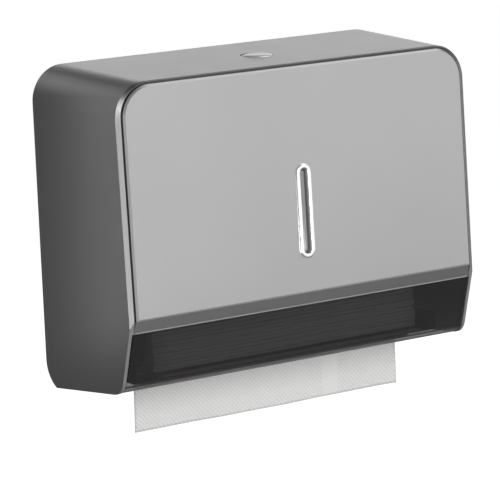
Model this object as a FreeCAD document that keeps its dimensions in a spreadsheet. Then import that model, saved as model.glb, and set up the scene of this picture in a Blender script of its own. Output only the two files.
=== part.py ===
import FreeCAD, Part
import math
import os
import re
import Sketcher

from FreeCAD import Placement, Rotation, Vector

# Wall dispenser for folded paper towels.
# A drafted plastic cover with a proud front panel hangs on two hinge pins at the bottom of a back plate.
# Pressing the button in its top rocks a hooked lever off the catch, and the cover swings forward and down.
# The row frame: X to the viewer's right, Y into the wall, Z up, origin at the wall plane in the middle
# of the four screw holes. A depth is a distance from the wall plane towards the front, so y = -depth.

SIZES = [
    ("side_room", 33.5, "edge of the towels to the cover's side at its rear edge"),
    ("cover_top", 100.0, "top of the cover's rear edge above the hole centre"),
    ("wall_gap", 0.8, "cover's rear edge to the wall"),
    ("wall", 2.2, "cover wall"),
    ("side_draft", 2.15, "side walls narrow to the front, degrees"),
    ("top_draft", 3.0, "top wall falls to the front, degrees"),
    ("rear_corner", 22.0, "outline corner at the rear edge"),
    ("front_corner", 22.0, "outline corner at the rim"),
    ("rim_setback", 7.9, "rim at the cover's top lies this far in front of the lower corner"),
    ("lean", 2.04, "front leans out downwards, degrees"),
    ("form_over", 25.0, "how far the drafted form is drawn past the rim"),
    ("kink_below", 48.0, "front turns back, below the centre"),
    ("lip_room", 10.1, "front of the towels to the sharp lower front corner"),
    ("lip_below", 94.1, "sharp lower front corner, below the centre"),
    ("lip_round", 11.0, "rounding of the lower front corner"),
    ("bottom_fall", 5.8, "lowest point of the side walls below that corner"),
    ("hinge_rise", 16.9, "hinge axis above the lowest point"),
    ("sweep_radius", 18.9, "side wall's rear corner, centred on the hinge"),
    ("rim_side", 2.8, "panel's groove to the cover's side at the rim"),
    ("rim_top", 0.6, "panel's groove to the cover's top at the rim"),
    ("rim_flat", 0.2, "flat of the rim along the groove"),
    ("rim_bevel", 1.4, "bevelled edge of the rim, from front to back"),
    ("groove", 1.1, "gap round the front panel"),
    ("groove_corner", 20.6, "outer corner of that gap"),
    ("groove_skin", 0.5, "wall left behind the gap beside the band"),
    ("recess", 1.6, "panel seat below the rim"),
    ("panel_proud", 2.0, "panel stands out of the rim"),
    ("panel_lift", 0.4, "panel's bottom edge above the turn of the front"),
    ("panel_skin", 2.0, "panel face"),
    ("panel_edge", 2.6, "panel's own edge wall"),
    ("panel_bevel", 1.2, "bevel of the panel's front edge"),
    ("glue_gap", 0.1, "play under glued and screwed faces"),
    ("peg_radius", 1.5, "panel's locating pegs"),
    ("peg_inset", 30.0, "pegs from the cover's side"),
    ("peg_drop", 28.0, "upper pegs below the cover's top"),
    ("peg_rise", 16.0, "lower pegs above the turn of the front"),
    ("peg_play", 0.2, "round each peg"),
    ("band_height", 7.6, "painted band under the turn of the front"),
    ("rib_wall", 1.6, "stiffening ribs"),
    ("rib_height", 4.5, "stiffening ribs stand off the wall"),
    ("top_rib_inner", 60.0, "inner ribs under the top, from the middle"),
    ("top_rib_outer", 95.0, "outer ribs under the top, from the middle"),
    ("front_rib_spread", 70.0, "ribs behind the front, from the middle"),
    ("front_rib_drop", 14.0, "top of the front ribs below the cover's top"),
    ("front_rib_below", 30.0, "bottom of the front ribs"),
    ("window_wall", 2.0, "smoked window"),
    ("window_inset", 0.3, "window behind the cover's own edges"),
    ("window_play", 0.9, "window to each side wall and to the band"),
    ("window_lap", 18.6, "window's hidden flange above the band's lower edge"),
    ("lip_reach", 9.0, "window's lip behind the lower front corner"),
    ("flange_play", 0.2, "window flange behind the front wall"),
    ("shoulder", 0.25, "screw bosses stand past the window flange"),
    ("boss_radius", 3.5, "screw bosses"),
    ("boss_play", 0.4, "hole round a boss"),
    ("window_screw_lap", 12.6, "window screws above the band's lower edge"),
    ("window_screw_inner", 40.0, "inner window screws from the middle"),
    ("window_screw_inset", 23.0, "outer window screws from the cover's side"),
    ("screw_radius", 1.25, "screw shanks"),
    ("screw_play", 0.05, "round a screw shank"),
    ("screw_head", 2.8, "radius of a screw head"),
    ("screw_head_wide", 4.7, "radius of a washer head"),
    ("head_height", 1.7, "screw heads"),
    ("sight_height", 3.7, "middle of the sight glass above the centre"),
    ("sight_width", 12.0, "sight bezel"),
    ("sight_length", 59.4, "sight bezel"),
    ("sight_flange", 1.2, "bezel stands on the panel"),
    ("sight_opening", 5.2, "clear slot in the bezel"),
    ("sight_border", 3.6, "bezel from its end to the slot's end"),
    ("sight_neck", 9.0, "bezel's neck through the panel"),
    ("sight_neck_wall", 0.9, "wall of that neck"),
    ("sight_neck_depth", 6.6, "length of that neck"),
    ("sight_bevel", 0.8, "bezel's outer edge"),
    ("sight_play", 0.2, "round the neck and round the lens"),
    ("lens_thick", 1.6, "sight lens"),
    ("plate_inset", 4.5, "back plate's side from the cover's side"),
    ("plate_drop", 5.0, "back plate's top edge below the cover's top"),
    ("plate_lift", 1.0, "back plate's bottom edge above the lowest point"),
    ("plate_depth", 5.0, "back plate with its rim"),
    ("plate_skin", 2.3, "back plate's front skin"),
    ("plate_corner", 18.5, "back plate's upper corners"),
    ("plate_foot", 4.0, "back plate's lower corners"),
    ("plate_rim", 2.4, "rim of the back plate"),
    ("plate_rib", 1.8, "ribs behind the back plate"),
    ("plate_rib_pitch", 43.0, "upright ribs behind the back plate"),
    ("hole_spread", 180.0, "screw holes across"),
    ("hole_rise", 120.0, "screw holes up"),
    ("hole_radius", 2.6, "screw holes in the back plate"),
    ("hole_boss", 7.0, "boss round a screw hole"),
    ("hinge_boss_length", 5.1, "cover's hinge boss from the side wall"),
    ("ear_thick", 7.0, "hinge ears"),
    ("ear_radius", 6.5, "hinge ears round the pin"),
    ("pin_radius", 2.0, "hinge pins"),
    ("pin_length", 12.0, "hinge pins"),
    ("pin_play", 0.1, "pin in the cover's bore"),
    ("pin_press", 0.01, "pin in the ear's bore"),
    ("hinge_boss", 5.2, "cover's boss round the pin"),
    ("hinge_gap", 1.0, "ear to the cover's boss"),
    ("towel_width", 203.0, "folded towel"),
    ("towel_fold", 66.4, "folded towel from front to back"),
    ("towel_thick", 0.9, "hanging sheet"),
    ("towel_layers", 1.6, "folds of the hanging sheet below the stack"),
    ("towel_back", 0.6, "back plate to the towels"),
    ("hang_back", 24.0, "hanging sheet behind the front of the towels"),
    ("towel_out", 33.9, "hanging sheet below the lower front corner"),
    ("stack_height", 58.0, "towels left in the stack"),
    ("stack_round", 2.0, "folded edges of the stack"),
    ("rest_gap", 0.3, "paper above what it lies on"),
    ("tray_room", 3.0, "tray's side to the hinge ear"),
    ("tray_lift", 4.6, "tray floor's upper face above the lower front corner"),
    ("tray_wall", 2.0, "tray floor and sides"),
    ("tray_lip", 1.6, "tray's front wall"),
    ("tray_lip_rise", 3.0, "front wall above the floor"),
    ("tray_side_rise", 10.0, "side walls above the floor"),
    ("tray_round", 4.0, "tray's lower front edge"),
    ("mouth_room", 2.0, "edge of the towels to the mouth's end"),
    ("mouth_depth", 24.0, "mouth from front to back"),
    ("mouth_corner", 5.0, "corners of the mouth"),
    ("collar_wall", 1.8, "collar round the mouth"),
    ("collar_drop", 3.5, "collar below the floor"),
    ("tab_width", 10.2, "tray's screw tabs"),
    ("tab_screw_rise", 8.0, "tray screws above the floor"),
    ("tab_rise", 14.5, "tray's screw tab above the floor"),
    ("guide_wall", 2.0, "guides and their flanges"),
    ("guide_play", 1.1, "towel to each guide"),
    ("guide_back", 6.0, "guide's front edge behind the front of the towels"),
    ("guide_top", 62.0, "top of the guides"),
    ("guide_top_reach", 36.0, "guide's top from the wall to its front"),
    ("guide_knee", 20.0, "guide narrows above this far below the centre"),
    ("guide_round", 20.0, "guide's lower front corner"),
    ("flange_over", 2.0, "guide's flange past the tray's side"),
    ("tab_gap", 3.0, "bottom of the guide's flange above the tray's tab"),
    ("guide_flange_top", 60.0, "top of the guide's flange"),
    ("guide_screw_inset", 3.5, "guide screws from the tray's side"),
    ("guide_screw_up", 50.0, "upper guide screws"),
    ("guide_screw_rise", 12.0, "lower guide screws above the flange's bottom"),
    ("flange_seat", 2.2, "screwed flanges' front face off the plate"),
    ("button_depth", 50.0, "button axis from the wall"),
    ("button_radius", 10.0, "push button"),
    ("button_play", 0.4, "hole round the button"),
    ("button_rise", 0.8, "button above the top wall"),
    ("button_dish", 0.4, "hollow of the button's face"),
    ("button_edge", 0.3, "bevel of the button's edge"),
    ("button_land", 1.0, "flat ring round the hollow"),
    ("stop_reach", 2.0, "button's stop flange past the button"),
    ("button_seat", 3.1, "stop flange below the outer face of the top wall"),
    ("button_flange_thick", 1.2, "stop flange"),
    ("button_wall", 1.8, "wall of the hollow button"),
    ("button_roof", 1.2, "button's roof below the outer face of the top wall"),
    ("stem_radius", 2.0, "stem that presses the lever"),
    ("stem_gap", 0.3, "stem to the lever"),
    ("spring_radius", 4.2, "spring, to the middle of its wire"),
    ("spring_wire", 0.45, "radius of the spring's wire"),
    ("spring_turns", 3.0, "rising coils of the spring"),
    ("spring_seat", 0.1, "spring to its seats"),
    ("cup_play", 0.7, "stop flange to the housing's cup"),
    ("cup_wall", 1.9, "wall of the cup"),
    ("cup_depth", 6.8, "depth of the cup"),
    ("cup_lift", 7.0, "floor of the cup above the lever's pin"),
    ("cup_floor_thick", 2.0, "that floor"),
    ("cup_ear_half", 5.0, "half of an ear's width"),
    ("cup_screw_room", 4.4, "housing screws from the cup's outside"),
    ("stem_hole", 3.0, "hole for the stem"),
    ("cheek_inner", 7.2, "cheeks' inner faces from the middle"),
    ("cheek_wall", 2.0, "cheeks that hold the lever's pin"),
    ("cheek_over", 8.0, "front of the cheeks past the button axis"),
    ("cheek_behind", 6.0, "cheeks behind the lever's pin"),
    ("cheek_drop", 5.0, "bottom of the cheeks below the pin"),
    ("pivot_depth", 32.0, "lever's pin from the wall"),
    ("pivot_drop", 21.0, "lever's pin below the cover's top"),
    ("pivot_radius", 1.5, "lever's pin"),
    ("pivot_play", 0.08, "lever on its pin"),
    ("pivot_over", 1.0, "pin past each cheek"),
    ("lever_half", 6.5, "half of the lever's width"),
    ("lever_arm", 1.8, "half of the arm's thickness"),
    ("lever_hub", 4.2, "lever round its pin"),
    ("lever_over", 4.5, "front end of the lever past the button axis"),
    ("hook_front", 11.0, "hook's holding face from the wall"),
    ("hook_rear", 7.0, "rear of the lever from the wall"),
    ("hook_drop", 6.0, "lowest point of the hook below the pin"),
    ("hook_tip_width", 1.4, "flat at the hook's point"),
    ("hook_bite", 3.0, "hook below the top of the catch"),
    ("catch_half", 9.0, "half of the catch's width"),
    ("catch_wall", 2.2, "catch's leg and shelf"),
    ("catch_tooth", 3.0, "tooth behind which the hook sits"),
    ("catch_gap", 0.5, "tooth to hook"),
    ("hook_clear", 2.5, "hook above the catch's shelf"),
    ("catch_leg", 21.0, "catch's leg below its shelf"),
    ("catch_screw_spread", 5.0, "catch screws from the middle"),
    ("catch_screw_drop", 14.0, "catch screws below the shelf"),
]
FOLLOWS = {
    "width": "towel_width + 2 * side_room",
    "towel_front": "plate_depth + towel_back + towel_fold",
    "towel_hang_depth": "towel_front - hang_back",
    "towel_below": "lip_below + towel_out",
    "lip_depth": "towel_front + lip_room",
    "rim_depth": "lip_depth + rim_setback",
    "form_reach": "rim_depth + form_over",
    "bottom_below": "lip_below + bottom_fall",
    "hinge_below": "bottom_below - hinge_rise",
    "panel_below": "kink_below - panel_lift",
    "band_below": "kink_below + band_height",
    "peg_spread": "width / 2 - peg_inset",
    "peg_up": "cover_top - peg_drop",
    "peg_down": "kink_below - peg_rise",
    "front_rib_top": "cover_top - front_rib_drop",
    "window_end": "lip_depth - lip_reach",
    "window_flange_below": "band_below - window_lap",
    "window_screw_below": "band_below - window_screw_lap",
    "window_screw_outer": "width / 2 - window_screw_inset",
    "plate_side": "width / 2 - plate_inset",
    "plate_top": "cover_top - plate_drop",
    "plate_below": "bottom_below - plate_lift",
    "ear_outer": "width / 2 - tan(side_draft) * sweep_radius - wall - hinge_boss_length - hinge_gap",
    "ear_inner": "ear_outer - ear_thick",
    "pin_end": "ear_inner + pin_length",
    "tray_side": "ear_inner - tray_room",
    "tray_floor": "lip_below - tray_lift",
    "tab_side": "tray_side - tab_width",
    "tray_screw_spread": "tray_side - tab_width / 2",
    "tray_screw_below": "tray_floor - tab_screw_rise",
    "mouth_side": "towel_width / 2 + mouth_room",
    "guide_inner": "towel_width / 2 + guide_play",
    "guide_reach": "towel_front - guide_back",
    "guide_side": "tray_side + flange_over",
    "guide_flange_below": "tray_floor - tab_rise - tab_gap",
    "guide_screw_spread": "tray_side - guide_screw_inset",
    "guide_screw_below": "guide_flange_below - guide_screw_rise",
    "button_flange": "button_radius + stop_reach",
    "button_skirt": "button_radius - button_wall",
    "cup_radius": "button_flange + cup_play",
    "cup_floor": "pivot_height + cup_lift",
    "cup_top": "cup_floor + cup_depth",
    "cup_screw_spread": "cup_radius + cup_wall + cup_screw_room",
    "cup_ear_reach": "cup_screw_spread + cup_ear_half",
    "cheek_front": "button_depth + cheek_over",
    "cheek_rear": "pivot_depth - cheek_behind",
    "cheek_bottom": "pivot_height - cheek_drop",
    "pivot_height": "cover_top - pivot_drop",
    "lever_front": "button_depth + lever_over",
    "hook_tip": "pivot_height - hook_drop",
    "catch_shelf": "hook_tip - hook_clear",
    "catch_bottom": "catch_shelf - catch_leg",
    "catch_screw_height": "catch_shelf - catch_screw_drop",
}
ALIASES = {name for name, value, note in SIZES}

doc = FreeCAD.newDocument("towel_dispenser")
sizes = doc.addObject("Spreadsheet::Sheet", "sizes")
for row, (name, value, note) in enumerate(SIZES, start=1):
    sizes.set(f"A{row}", name)
    sizes.set(f"B{row}", str(value))
    sizes.set(f"C{row}", note)
    sizes.setAlias(f"B{row}", name)
doc.recompute()


# Formulas

def formula(text):
    """Point every size name in a formula at its cell, through the sizes that follow from others."""
    def cell(word):
        name = word.group()
        if name in FOLLOWS:
            return "(" + formula(FOLLOWS[name]) + ")"
        return "sizes." + name if name in ALIASES else name
    return re.sub(r"[a-z_]+", cell, text)


def number(text):
    """The present value of a formula."""
    return float(sizes.evalExpression(formula(text)))


def bind(item, name, text):
    """Tie one property of an object to a formula."""
    item.setExpression(name, formula(text))


def half_width(depth):
    """Half of the cover's outer width at a depth."""
    return f"(width / 2 - tan(side_draft) * (({depth}) - wall_gap))"


def top_height(depth):
    """Outer height of the cover's top at a depth."""
    return f"(cover_top - tan(top_draft) * (({depth}) - wall_gap))"


def corner(depth):
    """Radius of the cover's outline corner at a depth."""
    return f"(rear_corner + (front_corner - rear_corner) * (({depth}) - wall_gap) / (rim_depth - wall_gap))"


def rim_at(height):
    """Depth of the leaning rim at a height."""
    return f"(rim_depth + tan(lean) * (cover_top - ({height})))"


def inner_at(height):
    """Depth of the front wall's inner face at a height."""
    return f"({rim_at(height)} - recess - wall)"


SLANT = f"(({rim_at('-kink_below')} - lip_depth) / (lip_below - kink_below))"
HINGE_DEPTH = "(wall_gap + sweep_radius)"
SWEEP_END = f"({HINGE_DEPTH} - sqrt(sweep_radius ^ 2 - (bottom_below - hinge_below) ^ 2))"
BOTTOM_SLOPE = f"((bottom_below - lip_below) / (lip_depth - {SWEEP_END}))"


def slant_at(height):
    """Depth of the cover's slanted lower front at a height."""
    return f"(lip_depth + ({height} + lip_below) * {SLANT})"


# Sketches

def new_body(name):
    """An empty body."""
    return doc.addObject("PartDesign::Body", name)


def sketch(body, name, role, offset="0"):
    """A sketch on one of the body's origin planes, moved along the plane's normal."""
    plane = next(feature for feature in body.Origin.OriginFeatures if feature.Role == role)
    item = body.newObject("Sketcher::SketchObject", name)
    item.AttachmentSupport = [(plane, "")]
    item.MapMode = "FlatFace"
    bind(item, "AttachmentOffset.Base.z", offset)
    return item


def dimension(item, kind, geometry, position, text):
    """One driving dimension, measured from the sketch's origin."""
    index = item.addConstraint(Sketcher.Constraint(kind, -1, 1, geometry, position, number(text)))
    bind(item, f"Constraints[{index}]", text)


def radius_dimension(item, geometry, text):
    """The driving radius of an arc or a circle."""
    index = item.addConstraint(Sketcher.Constraint("Radius", geometry, number(text)))
    bind(item, f"Constraints[{index}]", text)


def arc_between(start, end, radius, turn):
    """The short arc from one point to another. A turn of 1 runs counter-clockwise and -1 clockwise."""
    chord = end - start
    left = Vector(-chord.y, chord.x, 0).normalize()
    rise = math.sqrt(max(radius ** 2 - chord.Length ** 2 / 4, 0.0))
    centre = (start + end) * 0.5 + left * (rise * turn)
    first, last = (start, end) if turn > 0 else (end, start)
    begin = math.atan2(first.y - centre.y, first.x - centre.x)
    finish = math.atan2(last.y - centre.y, last.x - centre.x)
    if finish < begin:
        finish += 2 * math.pi
    return Part.ArcOfCircle(Part.Circle(centre, Vector(0, 0, 1), radius), begin, finish)


def outline(item, points):
    """A closed outline. A point is (across, up), or (across, up, radius, turn) where an arc ends there."""
    spots = [Vector(number(point[0]), number(point[1]), 0) for point in points]
    runs = []
    for index, point in enumerate(points):
        if len(point) == 2:
            geometry = item.addGeometry(Part.LineSegment(spots[index - 1], spots[index]))
            runs.append((geometry, 1, 2))
            continue
        radius, turn = point[2:]
        geometry = item.addGeometry(arc_between(spots[index - 1], spots[index], number(radius), turn))
        runs.append((geometry, 1, 2) if turn > 0 else (geometry, 2, 1))
    for index, (geometry, begin, finish) in enumerate(runs):
        before, _, before_finish = runs[index - 1]
        item.addConstraint(Sketcher.Constraint("Coincident", before, before_finish, geometry, begin))
    for (geometry, begin, finish), point in zip(runs, points):
        dimension(item, "DistanceX", geometry, finish, point[0])
        dimension(item, "DistanceY", geometry, finish, point[1])
        if len(point) == 4:
            radius_dimension(item, geometry, point[2])


def rounded_box(left, low, right, high, radius):
    """Points of a rectangle with four rounded corners."""
    return [
        (left, f"({high}) - ({radius})"),
        (f"({left}) + ({radius})", high, radius, -1),
        (f"({right}) - ({radius})", high),
        (right, f"({high}) - ({radius})", radius, -1),
        (right, f"({low}) + ({radius})"),
        (f"({right}) - ({radius})", low, radius, -1),
        (f"({left}) + ({radius})", low),
        (left, f"({low}) + ({radius})", radius, -1),
    ]


def slot_outline(wide, long):
    """Points of an upright slot with round ends, centred on the sketch's origin."""
    side, straight, end = f"(({wide}) / 2)", f"((({long}) - ({wide})) / 2)", f"(({long}) / 2)"
    return [
        (f"-{side}", straight),
        ("0", end, side, -1),
        (side, straight, side, -1),
        (side, f"-{straight}"),
        ("0", f"-{end}", side, -1),
        (f"-{side}", f"-{straight}", side, -1),
    ]


def arched(side, high, radius, low):
    """Points of an upright outline with two round upper corners and a flat foot."""
    return [
        (f"-({side})", low),
        (f"-({side})", f"({high}) - ({radius})"),
        (f"-({side}) + ({radius})", high, radius, -1),
        (f"({side}) - ({radius})", high),
        (side, f"({high}) - ({radius})", radius, -1),
        (side, low),
    ]


# Features

def pad(body, profile, length, symmetric=False, reverse=False):
    """Extrude a sketch along its normal, or both ways from it."""
    feature = body.newObject("PartDesign::Pad", profile.Name + "_pad")
    feature.Profile = profile
    feature.SideType = "Symmetric" if symmetric else "One side"
    feature.Reversed = reverse
    bind(feature, "Length", length)
    return feature


def pocket(body, profile, length, symmetric=False, reverse=False):
    """Cut a sketch out of the body, and make sure that it took something away."""
    doc.recompute()
    before = body.Shape.Volume
    feature = body.newObject("PartDesign::Pocket", profile.Name + "_pocket")
    feature.Profile = profile
    feature.SideType = "Symmetric" if symmetric else "One side"
    feature.Reversed = reverse
    bind(feature, "Length", length)
    doc.recompute()
    if body.Shape.Volume > before - 1:
        raise ValueError(feature.Name + " cuts nothing")
    return feature


def revolve(body, profile):
    """Turn a sketch once round its upright axis."""
    feature = body.newObject("PartDesign::Revolution", profile.Name + "_turned")
    feature.Profile = profile
    feature.ReferenceAxis = (profile, ["V_Axis"])
    feature.Angle = 360
    return feature


def soften(kind, body, name, size, chosen):
    """Fillet or chamfer those edges of the body's last feature that the test picks."""
    doc.recompute()
    base = body.Tip
    picked = [f"Edge{index}" for index, edge in enumerate(base.Shape.Edges, start=1) if chosen(edge)]
    feature = body.newObject("PartDesign::" + kind, name)
    feature.Base = (base, picked)
    bind(feature, {"Fillet": "Radius", "Chamfer": "Size"}[kind], size)
    return feature


def near(value, text):
    """Whether a measured length is the one that a formula gives."""
    return abs(value - number(text)) < 0.02


# Solids outside the bodies

TURNS = {
    "z": Rotation(),
    "x": Rotation(Vector(0, 1, 0), 90),
    "-x": Rotation(Vector(0, 1, 0), -90),
    "-y": Rotation(Vector(1, 0, 0), 90),
    "y": Rotation(Vector(1, 0, 0), -90),
    "-z": Rotation(Vector(1, 0, 0), 180),
}


def place(item, spot, turn="z"):
    """Put an object at three formulas, turned so that its own Z looks along the named axis."""
    item.Placement = Placement(Vector(), TURNS[turn])
    for axis, text in zip("xyz", spot):
        bind(item, f"Placement.Base.{axis}", text)


def cylinder(name, spot, turn, radius, length):
    """A cylinder that grows from a spot along an axis."""
    item = doc.addObject("Part::Cylinder", name)
    bind(item, "Radius", radius)
    bind(item, "Height", length)
    place(item, spot, turn)
    return item


FEW, MORE = 8, 12


def prism(name, spot, turn, sides, radius, length):
    """A regular prism inside a circle, grown from a spot along an axis, for round details that repeat."""
    item = doc.addObject("Part::Prism", name)
    item.Polygon = sides
    bind(item, "Circumradius", radius)
    bind(item, "Height", length)
    place(item, spot, turn)
    return item


def box(name, low, high):
    """A box between two corners."""
    item = doc.addObject("Part::Box", name)
    for side, axis in zip(("Length", "Width", "Height"), range(3)):
        bind(item, side, f"({high[axis]}) - ({low[axis]})")
    place(item, low)
    return item


def fuse(name, parts):
    """One solid out of several."""
    item = doc.addObject("Part::MultiFuse", name)
    item.Shapes = parts
    item.Refine = True
    return item


def cut(name, base, tools):
    """The base without the tools."""
    item = doc.addObject("Part::Cut", name)
    item.Base = base
    item.Tool = tools[0] if len(tools) == 1 else fuse(name + "_tools", tools)
    item.Refine = True
    return item


def common(name, first, second):
    """What two solids share."""
    item = doc.addObject("Part::Common", name)
    item.Base = first
    item.Tool = second
    item.Refine = True
    return item


def group(name, parts):
    """Separate like solids that share one node."""
    item = doc.addObject("Part::Compound", name)
    item.Links = parts
    return item


def mirrored(name, source):
    """The same piece on the other side of the middle."""
    item = doc.addObject("Part::Mirroring", name)
    item.Source = source
    item.Normal = Vector(1, 0, 0)
    return item


nodes = {}


def keep(name, item):
    """Name a finished piece."""
    item.Label = name
    nodes[name] = item


def screw(name, spot, turn, shank, head="screw_head"):
    """A plain screw: its seat is at the spot and its shank points along the axis."""
    axis, way = "xyz".index(turn[-1]), "-" if turn[0] == "-" else "+"
    top, middle = list(spot), list(spot)
    top[axis] = f"({spot[axis]}) {way} -head_height"
    middle[axis] = f"({spot[axis]}) {way} -head_height / 2"
    head_part = prism(name + "_head", top, turn, MORE, head, "head_height")
    shank_part = prism(name + "_shank", middle, turn, FEW, "screw_radius", f"{shank} + head_height / 2")
    return fuse(name, [head_part, shank_part])


# Cover: drafted outer form, leaning front, bevelled rim

HIGH = "cover_top + 10"
LOW = "-bottom_below - 12"


def on_front(item, depth, height):
    """Lay an object's own XY plane parallel to the leaning front, with its Z looking out."""
    item.Placement = Placement(Vector(), Rotation(Vector(1, 0, 0), 88))
    bind(item, "Placement.Rotation.Angle", "90 - lean")
    bind(item, "Placement.Base.y", f"-({depth})")
    bind(item, "Placement.Base.z", height)


def drafted_form(name, start, inset):
    """The cover's drafted outline, lofted from a start depth to the far end of the form."""
    body = new_body(name)
    rear = sketch(body, name + "_rear", "XZ_Plane", start)
    outline(rear, arched(f"{half_width(start)} - {inset}", f"{top_height(start)} - {inset}",
                         f"{corner(start)} - {inset}", LOW))
    front = sketch(body, name + "_front", "XZ_Plane", "form_reach")
    outline(front, arched(f"{half_width('form_reach')} - {inset}", f"{top_height('form_reach')} - {inset}",
                          f"{corner('form_reach')} - {inset}", LOW))
    feature = body.newObject("PartDesign::AdditiveLoft", name + "_loft")
    feature.Profile = rear
    feature.Sections = [front]
    feature.Ruled = True
    return body


def slab_sketch(body, name, face, low, high):
    """A side view of all that lies in front of a leaning face, between two heights."""
    profile = sketch(body, name, "YZ_Plane")
    outline(profile, [
        (f"-{face(low)}", low),
        (f"-{face(high)}", high),
        ("-form_reach - 10", high),
        ("-form_reach - 10", low),
    ])
    return profile


outer_form = drafted_form("outer_form", "wall_gap", "0")

PANEL_DEPTH = rim_at("0")
RECESS_SIDE = f"({half_width(PANEL_DEPTH)} - rim_side)"
RECESS_TOP = f"({top_height('rim_depth')} - rim_top)"
AT_RIM = (f"({RECESS_SIDE} + rim_flat)", f"({RECESS_TOP} + rim_flat)", "(groove_corner + rim_flat)")
BEHIND_RIM = (half_width(f"{PANEL_DEPTH} - rim_bevel"), top_height("rim_depth - rim_bevel"),
              corner("rim_depth - rim_bevel"))

rim_form = new_body("rim_form")
rim_sections = []
for name, step in (("rim_front", 0), ("rim_rear", 2)):
    section = sketch(rim_form, name, "XY_Plane", f"-{step} * rim_bevel")
    side, high, radius = (f"({front} + {step} * ({behind} - {front}))"
                          for front, behind in zip(AT_RIM, BEHIND_RIM))
    outline(section, arched(side, f"{high} / cos(lean)", radius, LOW))
    rim_sections.append(section)
rim_loft = rim_form.newObject("PartDesign::AdditiveLoft", "rim_loft")
rim_loft.Profile = rim_sections[0]
rim_loft.Sections = rim_sections[1:]
rim_loft.Ruled = True
rim_back = sketch(rim_form, "rim_back", "XY_Plane", "-1.5 * rim_bevel")
outline(rim_back, [
    ("-width", LOW),
    ("-width", HIGH),
    ("width", HIGH),
    ("width", LOW),
])
pad(rim_form, rim_back, "form_reach", reverse=True)
on_front(rim_form, PANEL_DEPTH, "0")

side_view = new_body("side_view")
side_profile = sketch(side_view, "side_profile", "YZ_Plane")
outline(side_profile, [
    ("-wall_gap", HIGH),
    ("-wall_gap", "-hinge_below"),
    (f"-{SWEEP_END}", "-bottom_below", "sweep_radius", -1),
    ("-lip_depth", "-lip_below"),
    (f"-{slant_at('-kink_below + 15')}", "-kink_below + 15"),
    ("-form_reach", HIGH),
])
pad(side_view, side_profile, "width + 20", symmetric=True)
soften("Fillet", side_view, "lip_rounding", "lip_round",
            lambda edge: near(-edge.CenterOfMass.y, "lip_depth") and near(-edge.CenterOfMass.z, "lip_below"))

hollow_form = drafted_form("hollow_form", "wall_gap - 3", "wall")
pocket(hollow_form, slab_sketch(hollow_form, "inner_trim", inner_at, "-band_below", HIGH), "width * 2",
       symmetric=True)

outer_solid = common("outer_solid", common("outer_block", outer_form, side_view), rim_form)
bare_shell = cut("bare_shell", outer_solid, [hollow_form])

# Cover: ribs, bosses and holes

rib_blocks = []
for side in ("-", ""):
    for spread in ("top_rib_inner", "top_rib_outer"):
        rib_blocks.append(box("top_rib", (f"{side}{spread} - rib_wall / 2", f"-{inner_at('cover_top')}",
                                          f"{top_height('rim_depth')} - wall - rib_height"),
                              (f"{side}{spread} + rib_wall / 2", "-plate_depth - 4", "cover_top")))
    rib_blocks.append(box("front_rib",
                          (f"{side}front_rib_spread - rib_wall / 2", "-form_reach", "-front_rib_below"),
                          (f"{side}front_rib_spread + rib_wall / 2",
                           f"-{inner_at('front_rib_top')} + rib_height", "front_rib_top")))
ribs = common("ribs", outer_solid, fuse("rib_blocks", rib_blocks))

HINGE_SPOT = (f"-{HINGE_DEPTH}", "-hinge_below")
HINGE_WALL = f"({half_width(HINGE_DEPTH)} - wall)"
HINGE_FACE = "(ear_inner + ear_thick + hinge_gap)"
SCREW_SEAT = "(window_wall + flange_play + shoulder)"
BUTTON_TOP = top_height("button_depth")
WINDOW_SCREWS = [f"{side}{spread}" for side in ("-", "")
                 for spread in ("window_screw_inner", "window_screw_outer")]
PEGS = [(f"{side}peg_spread", height) for side in ("-", "") for height in ("peg_up", "-peg_down")]
HOUSING_SCREWS = [f"{side}cup_screw_spread" for side in ("-", "")]

bosses = []
holes = []
for side, turn in (("-", "-x"), ("", "x")):
    bosses.append(cylinder("hinge_boss", (f"{side}{HINGE_FACE}", *HINGE_SPOT), turn, "hinge_boss",
                           f"{HINGE_WALL} + wall / 2 - {HINGE_FACE}"))
    holes.append(cylinder("hinge_bore", (f"{side}({HINGE_FACE} - 1)", *HINGE_SPOT), turn,
                          "pin_radius + pin_play", f"pin_end + rest_gap - ({HINGE_FACE} - 1)"))
for across in WINDOW_SCREWS:
    seat = f"({inner_at('-window_screw_below')} - {SCREW_SEAT})"
    spot = (across, f"-{seat}", "-window_screw_below")
    bosses.append(prism("window_boss", spot, "-y", MORE, "boss_radius", f"{SCREW_SEAT} + wall / 2"))
    holes.append(prism("window_pilot", spot, "-y", FEW, "screw_radius + screw_play",
                       f"{SCREW_SEAT} + wall - glue_gap"))
for across in HOUSING_SCREWS:
    spot = (across, "-button_depth", "cup_top")
    bosses.append(prism("housing_boss", spot, "z", MORE, "boss_radius", f"{BUTTON_TOP} - wall / 2 - cup_top"))
    holes.append(prism("housing_pilot", spot, "z", FEW, "screw_radius + screw_play",
                       f"{BUTTON_TOP} - wall / 2 - cup_top"))
for across, height in PEGS:
    holes.append(prism("peg_hole", (across, f"-{inner_at(height)} + wall", height), "-y", FEW,
                       "peg_radius + peg_play", "recess + 3 * wall"))
holes.append(cylinder("button_hole", ("0", "-button_depth", f"{BUTTON_TOP} - wall * 2"), "z",
                      "button_radius + button_play", "wall * 4"))

# Cover: seat of the front panel, and the slot for the sight glass


def recess_floor(height):
    """Depth of the panel's seat at a height."""
    return f"({rim_at(height)} - recess)"


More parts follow.
